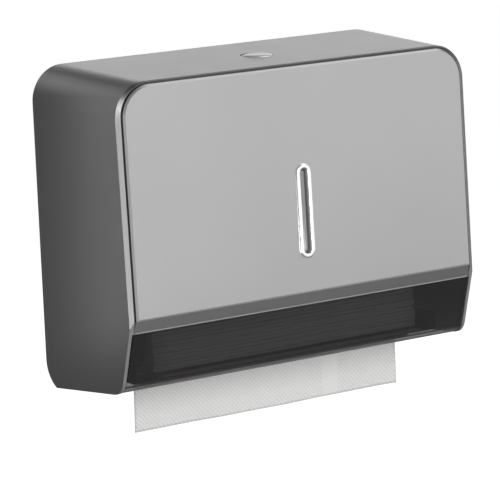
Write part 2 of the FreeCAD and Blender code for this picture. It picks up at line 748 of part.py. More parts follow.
def front_form(name, inset, foot, back):
    """A plate in the front's outline, in front of a leaning face."""
    body = new_body(name)
    profile = sketch(body, name + "_outline", "XZ_Plane", "rim_depth / 2")
    outline(profile, arched(f"{RECESS_SIDE} - {inset}", f"{RECESS_TOP} - {inset}",
                            f"groove_corner - {inset}", foot))
    pad(body, profile, "form_reach - rim_depth / 2")
    trim = sketch(body, name + "_back", "YZ_Plane")
    outline(trim, [
        ("0", LOW),
        (f"-{back(LOW)}", LOW),
        (f"-{back(HIGH)}", HIGH),
        ("0", HIGH),
    ])
    pocket(body, trim, "width * 2", symmetric=True)
    return body


recess_form = front_form("recess_form", "0", "-panel_below - rest_gap", recess_floor)
band_slots = []
for start in (f"-{RECESS_SIDE}", f"{RECESS_SIDE} - groove"):
    band_slot = new_body("band_slot")
    slot_profile = sketch(band_slot, "slot_profile", "YZ_Plane", start)
    outline(slot_profile, [
        (f"-{inner_at('-band_below - 1')} - groove_skin", "-band_below - 1"),
        (f"-{inner_at('-panel_below')} - groove_skin", "-panel_below"),
        ("-form_reach", "-panel_below"),
        ("-form_reach", "-band_below - 1"),
    ])
    pad(band_slot, slot_profile, "groove")
    band_slots.append(band_slot)

SIGHT_SPOT = (f"({rim_at('sight_height')} + panel_proud)", "sight_height")
SLOT_LENGTH = "(sight_length - 2 * sight_border)"
NECK_LENGTH = f"({SLOT_LENGTH} + sight_neck - sight_opening)"

sight_hole = new_body("sight_hole")
sight_hole_outline = sketch(sight_hole, "sight_hole_outline", "XY_Plane")
outline(sight_hole_outline, slot_outline("sight_neck + 2 * sight_play", f"{NECK_LENGTH} + 2 * sight_play"))
pad(sight_hole, sight_hole_outline, "form_reach / 4", symmetric=True)
on_front(sight_hole, *SIGHT_SPOT)

keep("cover_shell", cut("cover_shell", fuse("shell_with_bosses", [bare_shell, ribs] + bosses),
                        holes + [recess_form, sight_hole] + band_slots))

# Front panel: a shallow pan with a rounded edge and four locating pegs


def panel_back(height):
    """Depth of the panel's rear face at a height."""
    return f"({recess_floor(height)} + glue_gap)"


def panel_face(height):
    """Depth of the panel's front face at a height."""
    return f"({rim_at(height)} + panel_proud)"


def panel_inside(height):
    """Depth of the back of the panel's skin at a height."""
    return f"({panel_face(height)} - panel_skin)"


panel_form = front_form("panel_form", "groove", "-panel_below", panel_back)
pocket(panel_form, slab_sketch(panel_form, "panel_trim", panel_face, LOW, HIGH), "width * 2", symmetric=True)
soften("Chamfer", panel_form, "panel_bevel", "panel_bevel",
            lambda edge: near(-edge.CenterOfMass.y, panel_face(str(edge.CenterOfMass.z))))

panel_hollow = new_body("panel_hollow")
hollow_outline = sketch(panel_hollow, "hollow_outline", "XZ_Plane", "rim_depth / 2")
outline(hollow_outline, arched(f"{RECESS_SIDE} - groove - panel_edge", f"{RECESS_TOP} - groove - panel_edge",
                               "groove_corner - groove - panel_edge", "-panel_below + panel_edge"))
pad(panel_hollow, hollow_outline, "form_reach - rim_depth / 2")
pocket(panel_hollow, slab_sketch(panel_hollow, "hollow_trim", panel_inside, LOW, HIGH), "width * 2",
       symmetric=True)

panel_pads = []
for across, height in PEGS:
    panel_pads.append(prism("peg_foot", (across, f"-{panel_back(height)} - glue_gap", height), "-y", FEW,
                            "peg_radius * 2", "recess + panel_proud - panel_skin + peg_radius / 3"))
sight_land = new_body("sight_land")
sight_land_outline = sketch(sight_land, "sight_land_outline", "XY_Plane", "-(recess + panel_proud)")
outline(sight_land_outline, slot_outline("sight_width + 2 * panel_skin", "sight_length + 2 * panel_skin"))
pad(sight_land, sight_land_outline, "recess + panel_proud - panel_skin / 2")
on_front(sight_land, *SIGHT_SPOT)
pegs = [prism("peg", (across, f"-{inner_at(height)} + peg_radius / 2", height), "-y", FEW, "peg_radius",
              "wall + recess + peg_radius")
        for across, height in PEGS]
panel_core = cut("panel_core", panel_hollow, panel_pads + [sight_land])
panel_pan = cut("panel_pan", panel_form, [panel_core])
keep("front_panel", cut("front_panel", fuse("panel_with_pegs", [panel_pan] + pegs), [sight_hole]))

# Sight glass: plated bezel with a neck through the panel, and a clear strip behind its slot

sight_bezel = new_body("sight_bezel")
bezel_ring = sketch(sight_bezel, "bezel_ring", "XY_Plane", "glue_gap")
outline(bezel_ring, slot_outline("sight_width", "sight_length"))
pad(sight_bezel, bezel_ring, "sight_flange - glue_gap")
soften("Chamfer", sight_bezel, "bezel_bevel", "sight_bevel",
            lambda edge: near(edge.BoundBox.ZMin, "sight_flange"))
bezel_neck = sketch(sight_bezel, "bezel_neck", "XY_Plane", "glue_gap")
outline(bezel_neck, slot_outline("sight_neck", NECK_LENGTH))
pad(sight_bezel, bezel_neck, "sight_neck_depth + glue_gap", reverse=True)
bezel_slot = sketch(sight_bezel, "bezel_slot", "XY_Plane", "sight_flange + 1")
outline(bezel_slot, slot_outline("sight_opening", SLOT_LENGTH))
pocket(sight_bezel, bezel_slot, "sight_flange + 3")
lens_seat = sketch(sight_bezel, "lens_seat", "XY_Plane")
outline(lens_seat, slot_outline("sight_neck - 2 * sight_neck_wall", f"{NECK_LENGTH} - 2 * sight_neck_wall"))
pocket(sight_bezel, lens_seat, "sight_neck_depth + 1")
on_front(sight_bezel, *SIGHT_SPOT)
keep("sight_bezel", sight_bezel)

sight_lens = new_body("sight_lens")
lens_outline = sketch(sight_lens, "lens_outline", "XY_Plane", "-glue_gap")
outline(lens_outline, slot_outline("sight_neck - 2 * sight_neck_wall - sight_play",
                                   f"{NECK_LENGTH} - 2 * sight_neck_wall - sight_play"))
pad(sight_lens, lens_outline, "lens_thick", reverse=True)
on_front(sight_lens, *SIGHT_SPOT)
keep("sight_lens", sight_lens)

# Smoked window: hidden flange, joggle, slanted pane and a lip rolled under to the mouth

PANE_TOP = "(-band_below - window_play)"
PANE_THICK = f"(window_wall * sqrt(1 + {SLANT} ^ 2))"
PANE_LOW = "(lip_below - window_inset)"


def pane_at(height):
    """Depth of the pane's outer face at a height."""
    return f"(lip_depth - window_inset + (({height}) + {PANE_LOW}) * {SLANT})"


def flange_at(height):
    """Depth of the window flange's front face at a height."""
    return f"({inner_at(height)} - flange_play)"


LIP_END = f"(-{PANE_LOW} - {BOTTOM_SLOPE} * (lip_depth - window_inset - window_end))"
window_body = new_body("window_body")
window_profile = sketch(window_body, "window_profile", "YZ_Plane")
outline(window_profile, [
    (f"-{flange_at('-window_flange_below')}", "-window_flange_below"),
    (f"-{flange_at(PANE_TOP)}", PANE_TOP),
    (f"-{pane_at(PANE_TOP)}", PANE_TOP),
    ("-(lip_depth - window_inset)", f"-{PANE_LOW}"),
    ("-window_end", LIP_END),
    ("-window_end", f"{LIP_END} + window_wall"),
    (f"-(lip_depth - window_inset + window_wall * {SLANT} - {PANE_THICK})", f"-{PANE_LOW} + window_wall"),
    (f"-({pane_at(PANE_TOP)} - {PANE_THICK})", PANE_TOP),
    (f"-({flange_at(PANE_TOP)} - window_wall)", f"{PANE_TOP} + window_wall"),
    (f"-({flange_at('-window_flange_below')} - window_wall)", "-window_flange_below"),
])
WINDOW_SIDE = f"({half_width(rim_at('-kink_below'))} - wall - window_play)"
pad(window_body, window_profile, f"2 * {WINDOW_SIDE}", symmetric=True)
soften("Fillet", window_body, "lip_outside", "lip_round - window_inset",
            lambda edge: near(-edge.CenterOfMass.z, PANE_LOW)
            and near(-edge.CenterOfMass.y, "lip_depth - window_inset"))
soften("Fillet", window_body, "lip_inside", "lip_round - window_inset - window_wall",
            lambda edge: near(-edge.CenterOfMass.z, f"{PANE_LOW} - window_wall")
            and near(edge.Length, f"2 * {WINDOW_SIDE}") and -edge.CenterOfMass.y > number("window_end + 1"))
boss_holes = [prism("boss_hole", (across, f"-{inner_at('-window_screw_below')} + 3 * window_wall",
                                  "-window_screw_below"),
                    "-y", MORE, "boss_radius + boss_play", "5 * window_wall") for across in WINDOW_SCREWS]
keep("smoked_window", cut("smoked_window", window_body, boss_holes))
WINDOW_SCREW_SEAT = f"-({inner_at('-window_screw_below')} - {SCREW_SEAT})"
keep("window_screws", group("window_screws", [
    screw("window_screw", (across, WINDOW_SCREW_SEAT, "-window_screw_below"), "-y",
          f"{SCREW_SEAT} + wall - 3 * glue_gap", "screw_head_wide") for across in WINDOW_SCREWS]))

# Back plate: a shallow pan open to the wall, with ribs, screw bosses and two hinge ears

BASE_SCREWS = {
    "tray": [(f"{side}tray_screw_spread", "-tray_screw_below") for side in ("-", "")],
    "guide": [(f"{side}guide_screw_spread", height) for side in ("-", "")
              for height in ("guide_screw_up", "-guide_screw_below")],
    "catch": [(f"{side}catch_screw_spread", "catch_screw_height") for side in ("-", "")],
}
WALL_HOLES = [(f"{side}hole_spread / 2", f"{level}hole_rise / 2")
              for side in ("-", "") for level in ("-", "")]


def plate_outline(inset):
    """Points of the back plate's outline."""
    side, high, low = f"(plate_side - {inset})", f"(plate_top - {inset})", f"(-plate_below + {inset})"
    large, small = f"(plate_corner - {inset})", f"(plate_foot - {inset})"
    return [
        (f"-{side}", f"{high} - {large}"),
        (f"-{side} + {large}", high, large, -1),
        (f"{side} - {large}", high),
        (side, f"{high} - {large}", large, -1),
        (side, f"{low} + {small}"),
        (f"{side} - {small}", low, small, -1),
        (f"-{side} + {small}", low),
        (f"-{side}", f"{low} + {small}", small, -1),
    ]


plate_block = new_body("plate_block")
plate_sketch = sketch(plate_block, "plate_sketch", "XZ_Plane")
outline(plate_sketch, plate_outline("0"))
pad(plate_block, plate_sketch, "plate_depth")

plate_cavity = new_body("plate_cavity")
cavity_sketch = sketch(plate_cavity, "cavity_sketch", "XZ_Plane", "-1")
outline(cavity_sketch, plate_outline("plate_rim"))
pad(plate_cavity, cavity_sketch, "plate_depth - plate_skin + 1")

plate_fillings = []
for step in (-2, -1, 0, 1, 2):
    middle = f"{step} * plate_rib_pitch"
    plate_fillings.append(box("upright_rib", (f"{middle} - plate_rib / 2", "-plate_depth", LOW),
                              (f"{middle} + plate_rib / 2", "0", "cover_top")))
for level in (-1, 0, 1):
    middle = f"{level} * plate_rib_pitch"
    plate_fillings.append(box("level_rib", ("-width / 2", "-plate_depth", f"{middle} - plate_rib / 2"),
                              ("width / 2", "0", f"{middle} + plate_rib / 2")))
plate_holes = []
for across, height in WALL_HOLES:
    plate_fillings.append(prism("hole_boss", (across, "0", height), "-y", MORE, "hole_boss", "plate_depth"))
    plate_holes.append(cylinder("wall_hole", (across, "1", height), "-y", "hole_radius", "plate_depth + 2"))
for spots in BASE_SCREWS.values():
    for across, height in spots:
        plate_fillings.append(prism("screw_boss", (across, "0", height), "-y", FEW, "boss_radius",
                                    "plate_depth"))
        plate_holes.append(prism("screw_pilot", (across, "1", height), "-y", FEW, "screw_radius + screw_play",
                                 "plate_depth + 2"))
plate_gaps = cut("plate_gaps", plate_cavity, plate_fillings)

ears = []
for side, turn, start in (("-", "-x", "-ear_inner - ear_thick"), ("", "x", "ear_inner")):
    ears.append(cylinder("ear_end", (f"{side}ear_inner", *HINGE_SPOT), turn, "ear_radius", "ear_thick"))
    ears.append(box("ear_arm", (start, f"-{HINGE_DEPTH}", "-hinge_below - ear_radius"),
                    (f"({start}) + ear_thick", "-plate_depth / 2", "-hinge_below + ear_radius")))
    plate_holes.append(cylinder("ear_bore", (f"{side}(ear_inner - 1)", *HINGE_SPOT), turn,
                                "pin_radius + pin_press", "ear_thick + 2"))
plate_pan = cut("plate_pan", plate_block, [plate_gaps])
keep("back_plate", cut("back_plate", fuse("plate_with_ears", [plate_pan] + ears), plate_holes))
keep("hinge_pins", group("hinge_pins", [
    cylinder("hinge_pin", (f"{side}ear_inner", *HINGE_SPOT), turn, "pin_radius", "pin_end - ear_inner")
    for side, turn in (("-", "-x"), ("", "x"))]))

# Tray: floor with the dispensing mouth, low front wall, side walls and two screw tabs

TRAY_FRONT = "(towel_front + rest_gap + tray_lip)"
TRAY_REAR = "(plate_depth + rest_gap)"
MOUTH = rounded_box("-mouth_side", "-towel_hang_depth - mouth_depth / 2", "mouth_side",
                    "-towel_hang_depth + mouth_depth / 2", "mouth_corner")
COLLAR = rounded_box("-mouth_side - collar_wall", "-towel_hang_depth - mouth_depth / 2 - collar_wall",
                     "mouth_side + collar_wall", "-towel_hang_depth + mouth_depth / 2 + collar_wall",
                     "mouth_corner + collar_wall")

tray_block = new_body("tray_block")
tray_outline = sketch(tray_block, "tray_outline", "XY_Plane", "-tray_floor - tray_wall")
outline(tray_outline, [
    ("-tray_side", f"-{TRAY_REAR}"),
    ("tray_side", f"-{TRAY_REAR}"),
    ("tray_side", f"-{TRAY_FRONT}"),
    ("-tray_side", f"-{TRAY_FRONT}"),
])
pad(tray_block, tray_outline, "tray_wall + tray_side_rise")
soften("Fillet", tray_block, "tray_rounding", "tray_round",
            lambda edge: near(-edge.CenterOfMass.y, TRAY_FRONT)
            and near(-edge.CenterOfMass.z, "tray_floor + tray_wall"))
tray_inside = box("tray_inside", ("-tray_side + tray_wall", f"-{TRAY_FRONT} + tray_lip", "-tray_floor"),
                  ("tray_side - tray_wall", "0", "0"))
tray_front_cut = box("tray_front_cut",
                     ("-tray_side + tray_wall", f"-{TRAY_FRONT} - 1", "-tray_floor + tray_lip_rise"),
                     ("tray_side - tray_wall", f"-{TRAY_FRONT} + tray_lip + 1", "0"))
collar = new_body("collar")
collar_sketch = sketch(collar, "collar_sketch", "XY_Plane", "-tray_floor - tray_wall - collar_drop")
outline(collar_sketch, COLLAR)
pad(collar, collar_sketch, "collar_drop + tray_wall / 2")
mouth = new_body("mouth")
mouth_sketch = sketch(mouth, "mouth_sketch", "XY_Plane", "-tray_floor - tray_wall - collar_drop - 1")
outline(mouth_sketch, MOUTH)
pad(mouth, mouth_sketch, "collar_drop + tray_wall + 2")


def screw_hole(name, across, height):
    """The passage of one of the base's screws through a flange."""
    return prism(name, (across, "0", height), "-y", FEW, "screw_radius + screw_play", "plate_depth * 2")


tabs = [box("screw_tab", (f"{start}", "-plate_depth - flange_seat", "-tray_floor - tray_wall / 2"),
            (f"{start} + tray_side - tab_side", "-plate_depth - glue_gap", "-tray_floor + tab_rise"))
        for start in ("-tray_side", "tab_side")]
tab_holes = [screw_hole("tab_hole", across, height)
             for across, height in BASE_SCREWS["tray"]]
tray_pan = cut("tray_pan", tray_block, [tray_inside, tray_front_cut])
tray_with_collar = fuse("tray_with_collar", [tray_pan, collar] + tabs)
keep("paper_tray", cut("paper_tray", tray_with_collar, [mouth] + tab_holes))


def base_screws(name, spots):
    """Screws from the front into the back plate."""
    keep(name, group(name, [screw(name[:-1], (across, "-plate_depth - flange_seat", height), "y",
                                  "flange_seat + plate_depth - 1") for across, height in spots]))


base_screws("tray_screws", BASE_SCREWS["tray"])

# Guides: two upright cheeks that keep the stack in the middle

guide_plate = new_body("guide_plate")
guide_profile = sketch(guide_plate, "guide_profile", "YZ_Plane", "guide_inner")
GUIDE_FOOT = "(-tray_floor + rest_gap)"
outline(guide_profile, [
    ("-plate_depth - glue_gap", GUIDE_FOOT),
    ("-plate_depth - glue_gap", "guide_top"),
    ("-guide_top_reach + guide_round / 2", "guide_top"),
    ("-guide_top_reach", "guide_top - guide_round / 2", "guide_round / 2", 1),
    ("-guide_reach", "-guide_knee"),
    ("-guide_reach", f"{GUIDE_FOOT} + guide_round"),
    ("-guide_reach + guide_round", GUIDE_FOOT, "guide_round", 1),
])
pad(guide_plate, guide_profile, "guide_wall")
guide_flange = box("guide_flange_plate", ("guide_inner", "-plate_depth - flange_seat", "-guide_flange_below"),
                   ("guide_side", "-plate_depth - glue_gap", "guide_flange_top"))
guide_holes = [screw_hole("guide_hole", across, height)
               for across, height in BASE_SCREWS["guide"][2:]]
right_guide = cut("right_guide", fuse("guide_with_flange", [guide_plate, guide_flange]), guide_holes)
keep("right_guide", right_guide)
keep("left_guide", mirrored("left_guide", right_guide))
base_screws("guide_screws", BASE_SCREWS["guide"])

# Towels: the stack, and the sheet whose last fold hangs through the mouth

STACK_FOOT = "(-tray_floor + 2 * rest_gap + towel_layers)"
towel_stack = new_body("towel_stack")
stack_profile = sketch(towel_stack, "stack_profile", "YZ_Plane")
outline(stack_profile, rounded_box("-towel_front", STACK_FOOT, "-towel_front + towel_fold",
                                   f"{STACK_FOOT} + stack_height", "stack_round"))
pad(towel_stack, stack_profile, "towel_width", symmetric=True)
keep("towel_stack", towel_stack)

hanging_towel = new_body("hanging_towel")
towel_profile = sketch(hanging_towel, "towel_profile", "YZ_Plane")
outline(towel_profile, [
    ("-towel_front", "-tray_floor + rest_gap + towel_layers"),
    ("-towel_front + towel_fold", "-tray_floor + rest_gap + towel_layers"),
    ("-towel_front + towel_fold", "-tray_floor + rest_gap"),
    ("-towel_hang_depth + towel_thick / 2", "-tray_floor + rest_gap"),
    ("-towel_hang_depth + towel_thick / 2", "-towel_below"),
    ("-towel_hang_depth - towel_thick / 2", "-towel_below"),
    ("-towel_hang_depth - towel_thick / 2", "-tray_floor + rest_gap"),
    ("-towel_front", "-tray_floor + rest_gap"),
])
pad(hanging_towel, towel_profile, "towel_width", symmetric=True)
keep("hanging_towel", hanging_towel)

# Catch: leg, shelf and the upright tooth in front of the hook

TOOTH_REAR = "(hook_front + catch_gap)"
TOOTH_TOP = "(hook_tip + hook_bite)"
catch_body = new_body("catch_body")
catch_profile = sketch(catch_body, "catch_profile", "YZ_Plane")
outline(catch_profile, [
    ("-plate_depth - glue_gap", "catch_bottom"),
    ("-plate_depth - glue_gap", "catch_shelf"),
    (f"-{TOOTH_REAR}", "catch_shelf"),
    (f"-{TOOTH_REAR}", TOOTH_TOP),
    (f"-{TOOTH_REAR} - catch_tooth / 3", TOOTH_TOP),
    (f"-{TOOTH_REAR} - catch_tooth", f"{TOOTH_TOP} - catch_tooth"),
    (f"-{TOOTH_REAR} - catch_tooth", "catch_shelf - catch_wall"),
    ("-plate_depth - flange_seat", "catch_shelf - catch_wall"),
    ("-plate_depth - flange_seat", "catch_bottom"),
])
pad(catch_body, catch_profile, "2 * catch_half", symmetric=True)
catch_holes = [screw_hole("catch_hole", across, height)
               for across, height in BASE_SCREWS["catch"]]
keep("latch_catch", cut("latch_catch", catch_body, catch_holes))
base_screws("catch_screws", BASE_SCREWS["catch"])

# Latch housing: a cup for the button, screw ears, and two cheeks for the lever's pin

CUP_AXIS = ("0", "-button_depth")
cup = cylinder("cup", (*CUP_AXIS, "cup_floor - cup_floor_thick"), "z", "cup_radius + cup_wall",
               "cup_top - cup_floor + cup_floor_thick")
cup_hollow = cylinder("cup_hollow", (*CUP_AXIS, "cup_floor"), "z", "cup_radius", "cup_top - cup_floor + 1")
cup_ears = box("cup_ears", ("-cup_ear_reach", "-button_depth - cup_ear_half", "cup_top - cup_floor_thick"),
               ("cup_ear_reach", "-button_depth + cup_ear_half", "cup_top"))
bridge = box("bridge", ("-cheek_inner - cheek_wall", "-button_depth", "cup_floor - cup_floor_thick"),
             ("cheek_inner + cheek_wall", "-cheek_rear", "cup_floor"))
cheeks = [box("cheek", (start, "-cheek_front", "cheek_bottom"), (f"{start} + cheek_wall", "-cheek_rear",
                                                                 "cup_floor - cup_floor_thick / 2"))
          for start in ("-cheek_inner - cheek_wall", "cheek_inner")]
housing_holes = [cylinder("stem_passage", (*CUP_AXIS, "cup_floor - cup_floor_thick - 1"), "z", "stem_hole",
                          "cup_floor_thick + 2"),
                 cylinder("pin_bore", ("-cup_ear_reach", "-pivot_depth", "pivot_height"), "x",
                          "pivot_radius + pin_press", "2 * cup_ear_reach")]
housing_holes += [prism("ear_hole", (across, "-button_depth", "cup_top - cup_floor_thick - 1"), "z", FEW,
                        "screw_radius + screw_play", "cup_floor_thick + 2") for across in HOUSING_SCREWS]
keep("latch_housing", cut("latch_housing", fuse("housing_block", [cup, cup_ears, bridge] + cheeks),
                          [cup_hollow] + housing_holes))
HOUSING_SHANK = f"{BUTTON_TOP} - wall / 2 - cup_top + cup_floor_thick - 2 * glue_gap"
keep("housing_screws", group("housing_screws", [
    screw("housing_screw", (across, "-button_depth", "cup_top - cup_floor_thick"), "z", HOUSING_SHANK)
    for across in HOUSING_SCREWS]))
PIN_HALF = "(cheek_inner + cheek_wall + pivot_over)"
keep("latch_pin", cylinder("latch_pin", (f"-{PIN_HALF}", "-pivot_depth", "pivot_height"), "x",
                           "pivot_radius", f"2 * {PIN_HALF}"))

# Latch lever: arm under the button's stem, hub on the pin, hook behind the catch's tooth

ARM_TOP = "(pivot_height + lever_arm)"
ARM_FOOT = "(pivot_height - lever_arm)"
lever_body = new_body("lever_body")
lever_profile = sketch(lever_body, "lever_profile", "YZ_Plane")
outline(lever_profile, [
    ("-lever_front", f"{ARM_TOP} - lever_arm / 2"),
    ("-lever_front + lever_arm / 2", ARM_TOP, "lever_arm / 2", -1),
    ("-hook_rear - lever_arm", ARM_TOP),
    ("-hook_rear", "pivot_height", "lever_arm", -1),
    ("-hook_rear", "hook_tip + hook_front - hook_rear - hook_tip_width"),
    ("-hook_front + hook_tip_width", "hook_tip"),
    ("-hook_front", "hook_tip"),
    ("-hook_front", ARM_FOOT),
    ("-lever_front", ARM_FOOT),
])
pad(lever_body, lever_profile, "2 * lever_half", symmetric=True)
lever_hub = cylinder("lever_hub", ("-lever_half", "-pivot_depth", "pivot_height"), "x", "lever_hub",
                     "2 * lever_half")
lever_bore = cylinder("lever_bore", ("-lever_half - 1", "-pivot_depth", "pivot_height"), "x",
                      "pivot_radius + pivot_play", "2 * lever_half + 2")
keep("latch_lever", cut("latch_lever", fuse("lever_with_hub", [lever_body, lever_hub]), [lever_bore]))

# Push button: dished cap, stop flange below the top wall, stem down to the lever

STEM_FOOT = f"({ARM_TOP} + stem_gap - {BUTTON_TOP})"
push_button = new_body("push_button")
button_profile = sketch(push_button, "button_profile", "XZ_Plane")
outline(button_profile, [
    ("0", "button_rise - button_dish"),
    ("button_radius - button_land", "button_rise"),
    ("button_radius - button_edge", "button_rise"),
    ("button_radius", "button_rise - button_edge"),
    ("button_radius", "-button_seat"),
    ("button_flange", "-button_seat"),
    ("button_flange", "-button_seat - button_flange_thick"),
    ("button_skirt", "-button_seat - button_flange_thick"),
    ("button_skirt", "-button_roof"),
    ("stem_radius", "-button_roof"),
    ("stem_radius", STEM_FOOT),
    ("0", STEM_FOOT),
])
revolve(push_button, button_profile)
place(push_button, ("0", "-button_depth", BUTTON_TOP))
keep("push_button", push_button)

# Return spring: square sections along a helix, joined by straight runs, with a level half turn at each end

SPRING_FOOT = "(cup_floor + spring_wire + spring_seat)"
SPRING_HEIGHT = f"({BUTTON_TOP} - button_roof - spring_wire - spring_seat - {SPRING_FOOT})"
STEPS_A_TURN = 12
LEVEL_STEPS = STEPS_A_TURN // 2
RISING_STEPS = round(STEPS_A_TURN * number("spring_turns"))

wire_sections = []
for step in range(RISING_STEPS + 2 * LEVEL_STEPS + 1):
    risen = min(max(step - LEVEL_STEPS, 0), RISING_STEPS) / RISING_STEPS
    angle = 360 * step / STEPS_A_TURN
    wire_section = doc.addObject("Part::RegularPolygon", "wire_section")
    wire_section.Polygon = 4
    bind(wire_section, "Circumradius", "spring_wire")
    place(wire_section, (f"spring_radius * cos({angle})", f"spring_radius * sin({angle}) - button_depth",
                         f"{SPRING_FOOT} + {risen} * {SPRING_HEIGHT}"))
    wire_section.Placement.Rotation = Rotation(Vector(0, 0, 1), angle) * TURNS["y"]
    wire_sections.append(wire_section)
button_spring = doc.addObject("Part::Loft", "button_spring")
button_spring.Sections = wire_sections
button_spring.Solid = True
button_spring.Ruled = True
keep("button_spring", button_spring)

# Check and write

doc.recompute()
faults = [item.Name for item in doc.Objects if "Invalid" in item.State or "Error" in item.State]
faults += [name for name, item in nodes.items() if item.Shape.isNull() or not item.Shape.isValid()]
if faults:
    raise ValueError("failed objects: " + ", ".join(faults))
os.makedirs("parts", exist_ok=True)
for name, item in nodes.items():
    item.Shape.exportStep(f"parts/{name}.step")
    print(f"{name}: {len(item.Shape.Solids)} solids, {item.Shape.Volume:.0f} mm3")
print(len(nodes), "nodes")
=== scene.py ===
import math
import random

import bmesh
import bpy
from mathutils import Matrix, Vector


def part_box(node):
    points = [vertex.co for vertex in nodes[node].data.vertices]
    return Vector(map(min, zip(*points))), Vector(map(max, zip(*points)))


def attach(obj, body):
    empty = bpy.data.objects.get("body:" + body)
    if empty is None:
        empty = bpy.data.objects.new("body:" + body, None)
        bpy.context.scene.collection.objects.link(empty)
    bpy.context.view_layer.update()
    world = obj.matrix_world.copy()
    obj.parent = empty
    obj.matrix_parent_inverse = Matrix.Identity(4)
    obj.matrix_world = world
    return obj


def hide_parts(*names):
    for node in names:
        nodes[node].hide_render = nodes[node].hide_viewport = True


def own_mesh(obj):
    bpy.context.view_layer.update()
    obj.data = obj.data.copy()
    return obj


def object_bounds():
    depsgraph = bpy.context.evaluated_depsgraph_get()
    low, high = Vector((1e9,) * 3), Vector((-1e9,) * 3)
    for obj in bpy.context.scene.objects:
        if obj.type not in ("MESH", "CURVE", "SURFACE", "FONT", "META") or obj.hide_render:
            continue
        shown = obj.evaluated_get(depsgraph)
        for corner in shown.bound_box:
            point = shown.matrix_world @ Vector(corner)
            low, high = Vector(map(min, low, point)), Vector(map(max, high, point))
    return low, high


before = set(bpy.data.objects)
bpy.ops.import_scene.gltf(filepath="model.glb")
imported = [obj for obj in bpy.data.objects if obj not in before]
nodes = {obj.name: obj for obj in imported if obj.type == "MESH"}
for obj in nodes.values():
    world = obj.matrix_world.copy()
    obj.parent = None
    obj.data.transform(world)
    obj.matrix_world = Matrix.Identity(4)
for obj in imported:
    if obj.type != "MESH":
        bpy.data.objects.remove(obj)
cad_low, cad_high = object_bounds()

# Camera
# A long lens, off to the left of the dispenser and a little above it, so the left wall and the top show
# beside the front and their edges hardly converge.

camera_data = bpy.data.cameras.new("camera")
camera_data.sensor_width = 36.0
camera_data.lens = 231.3
camera_data.clip_end = 40.0
camera = bpy.data.objects.new("camera", camera_data)
camera.location = (-1.1401, -1.6905, 0.3219)
camera.rotation_euler = [math.radians(turn) for turn in (80.118, 2.391, -34.946)]
bpy.context.scene.collection.objects.link(camera)
bpy.context.scene.camera = camera
bpy.context.scene.view_settings.view_transform = "Standard"

# Floor and light
# A plain pale floor lies well below the dispenser, which hangs on a wall. Large softboxes light its front and
# its top, a low one reaches the towel under the lip, and a strip close to its left side fades along it.


def new_material(name, colour, roughness, metallic=0.0, **sockets):
    """A material with one Principled shader; what is the same all over the surface is set on its sockets."""
    material = bpy.data.materials.new(name)
    material.use_nodes = True
    shader = material.node_tree.nodes["Principled BSDF"]
    shader.inputs["Base Color"].default_value = (*colour, 1.0)
    shader.inputs["Roughness"].default_value = roughness
    shader.inputs["Metallic"].default_value = metallic
    for words, value in sockets.items():
        shader.inputs[words.replace("_", " ").title().replace("Ior", "IOR")].default_value = value
    return material


def link(tree, source, target):
    """Joins an output socket to an input socket, or gives the input a plain value."""
    if isinstance(source, bpy.types.NodeSocket):
        tree.links.new(source, target)
    else:
        target.default_value = source


def piece(name, mesh):
    """Puts a mesh into the scene as an object of this name."""
    made = bpy.data.objects.new(name, mesh)
    bpy.context.scene.collection.objects.link(made)
    return made


def turns_round(count):
    """The angles of so many points, evenly spaced round a circle."""
    return [math.radians(360 / count * n) for n in range(count)]


floor_drop = 0.32
floor_reach = 9.0
floor_points = 64
floor_mesh = bpy.data.meshes.new("floor")
floor_level = cad_low.z - floor_drop
floor_mesh.from_pydata(
    [(floor_reach * math.cos(turn), floor_reach * math.sin(turn), floor_level)
     for turn in turns_round(floor_points)],
    [], [list(range(floor_points))])
floor = piece("floor", floor_mesh)
floor_material = new_material("pale_floor", (0.28, 0.28, 0.28), 0.9, emission_color=(1.0, 1.0, 1.0, 1.0))
floor_tree = floor_material.node_tree
floor_shader = floor_tree.nodes["Principled BSDF"]
floor_ray = floor_tree.nodes.new("ShaderNodeLightPath")
link(floor_tree, floor_ray.outputs["Is Camera Ray"], floor_shader.inputs["Emission Strength"])
floor_mesh.materials.append(floor_material)

room_light = 0.02
backdrop = 1.0
surroundings = bpy.data.worlds.new("studio")
surroundings.use_nodes = True
bpy.context.scene.world = surroundings
studio_tree = surroundings.node_tree
studio = studio_tree.nodes["Background"]
studio_ray = studio_tree.nodes.new("ShaderNodeLightPath")
studio_level = studio_tree.nodes.new("ShaderNodeMapRange")
studio_level.inputs["To Min"].default_value = room_light
studio_level.inputs["To Max"].default_value = backdrop
link(studio_tree, studio_ray.outputs["Is Camera Ray"], studio_level.inputs["Value"])
link(studio_tree, studio_level.outputs["Result"], studio.inputs["Strength"])
studio.inputs["Color"].default_value = (1.0, 1.0, 1.0, 1.0)


def softbox(name, place, aim, size, power):
    """A rectangular light at place that faces aim; the camera doesn't see it."""
    data = bpy.data.lights.new(name, "AREA")
    data.shape = "RECTANGLE"
    data.size, data.size_y = size
    data.energy = power
    light = bpy.data.objects.new(name, data)
    light.location = place
    light.rotation_euler = (Vector(aim) - Vector(place)).to_track_quat("-Z", "Y").to_euler()
    light.visible_camera = False
    bpy.context.scene.collection.objects.link(light)


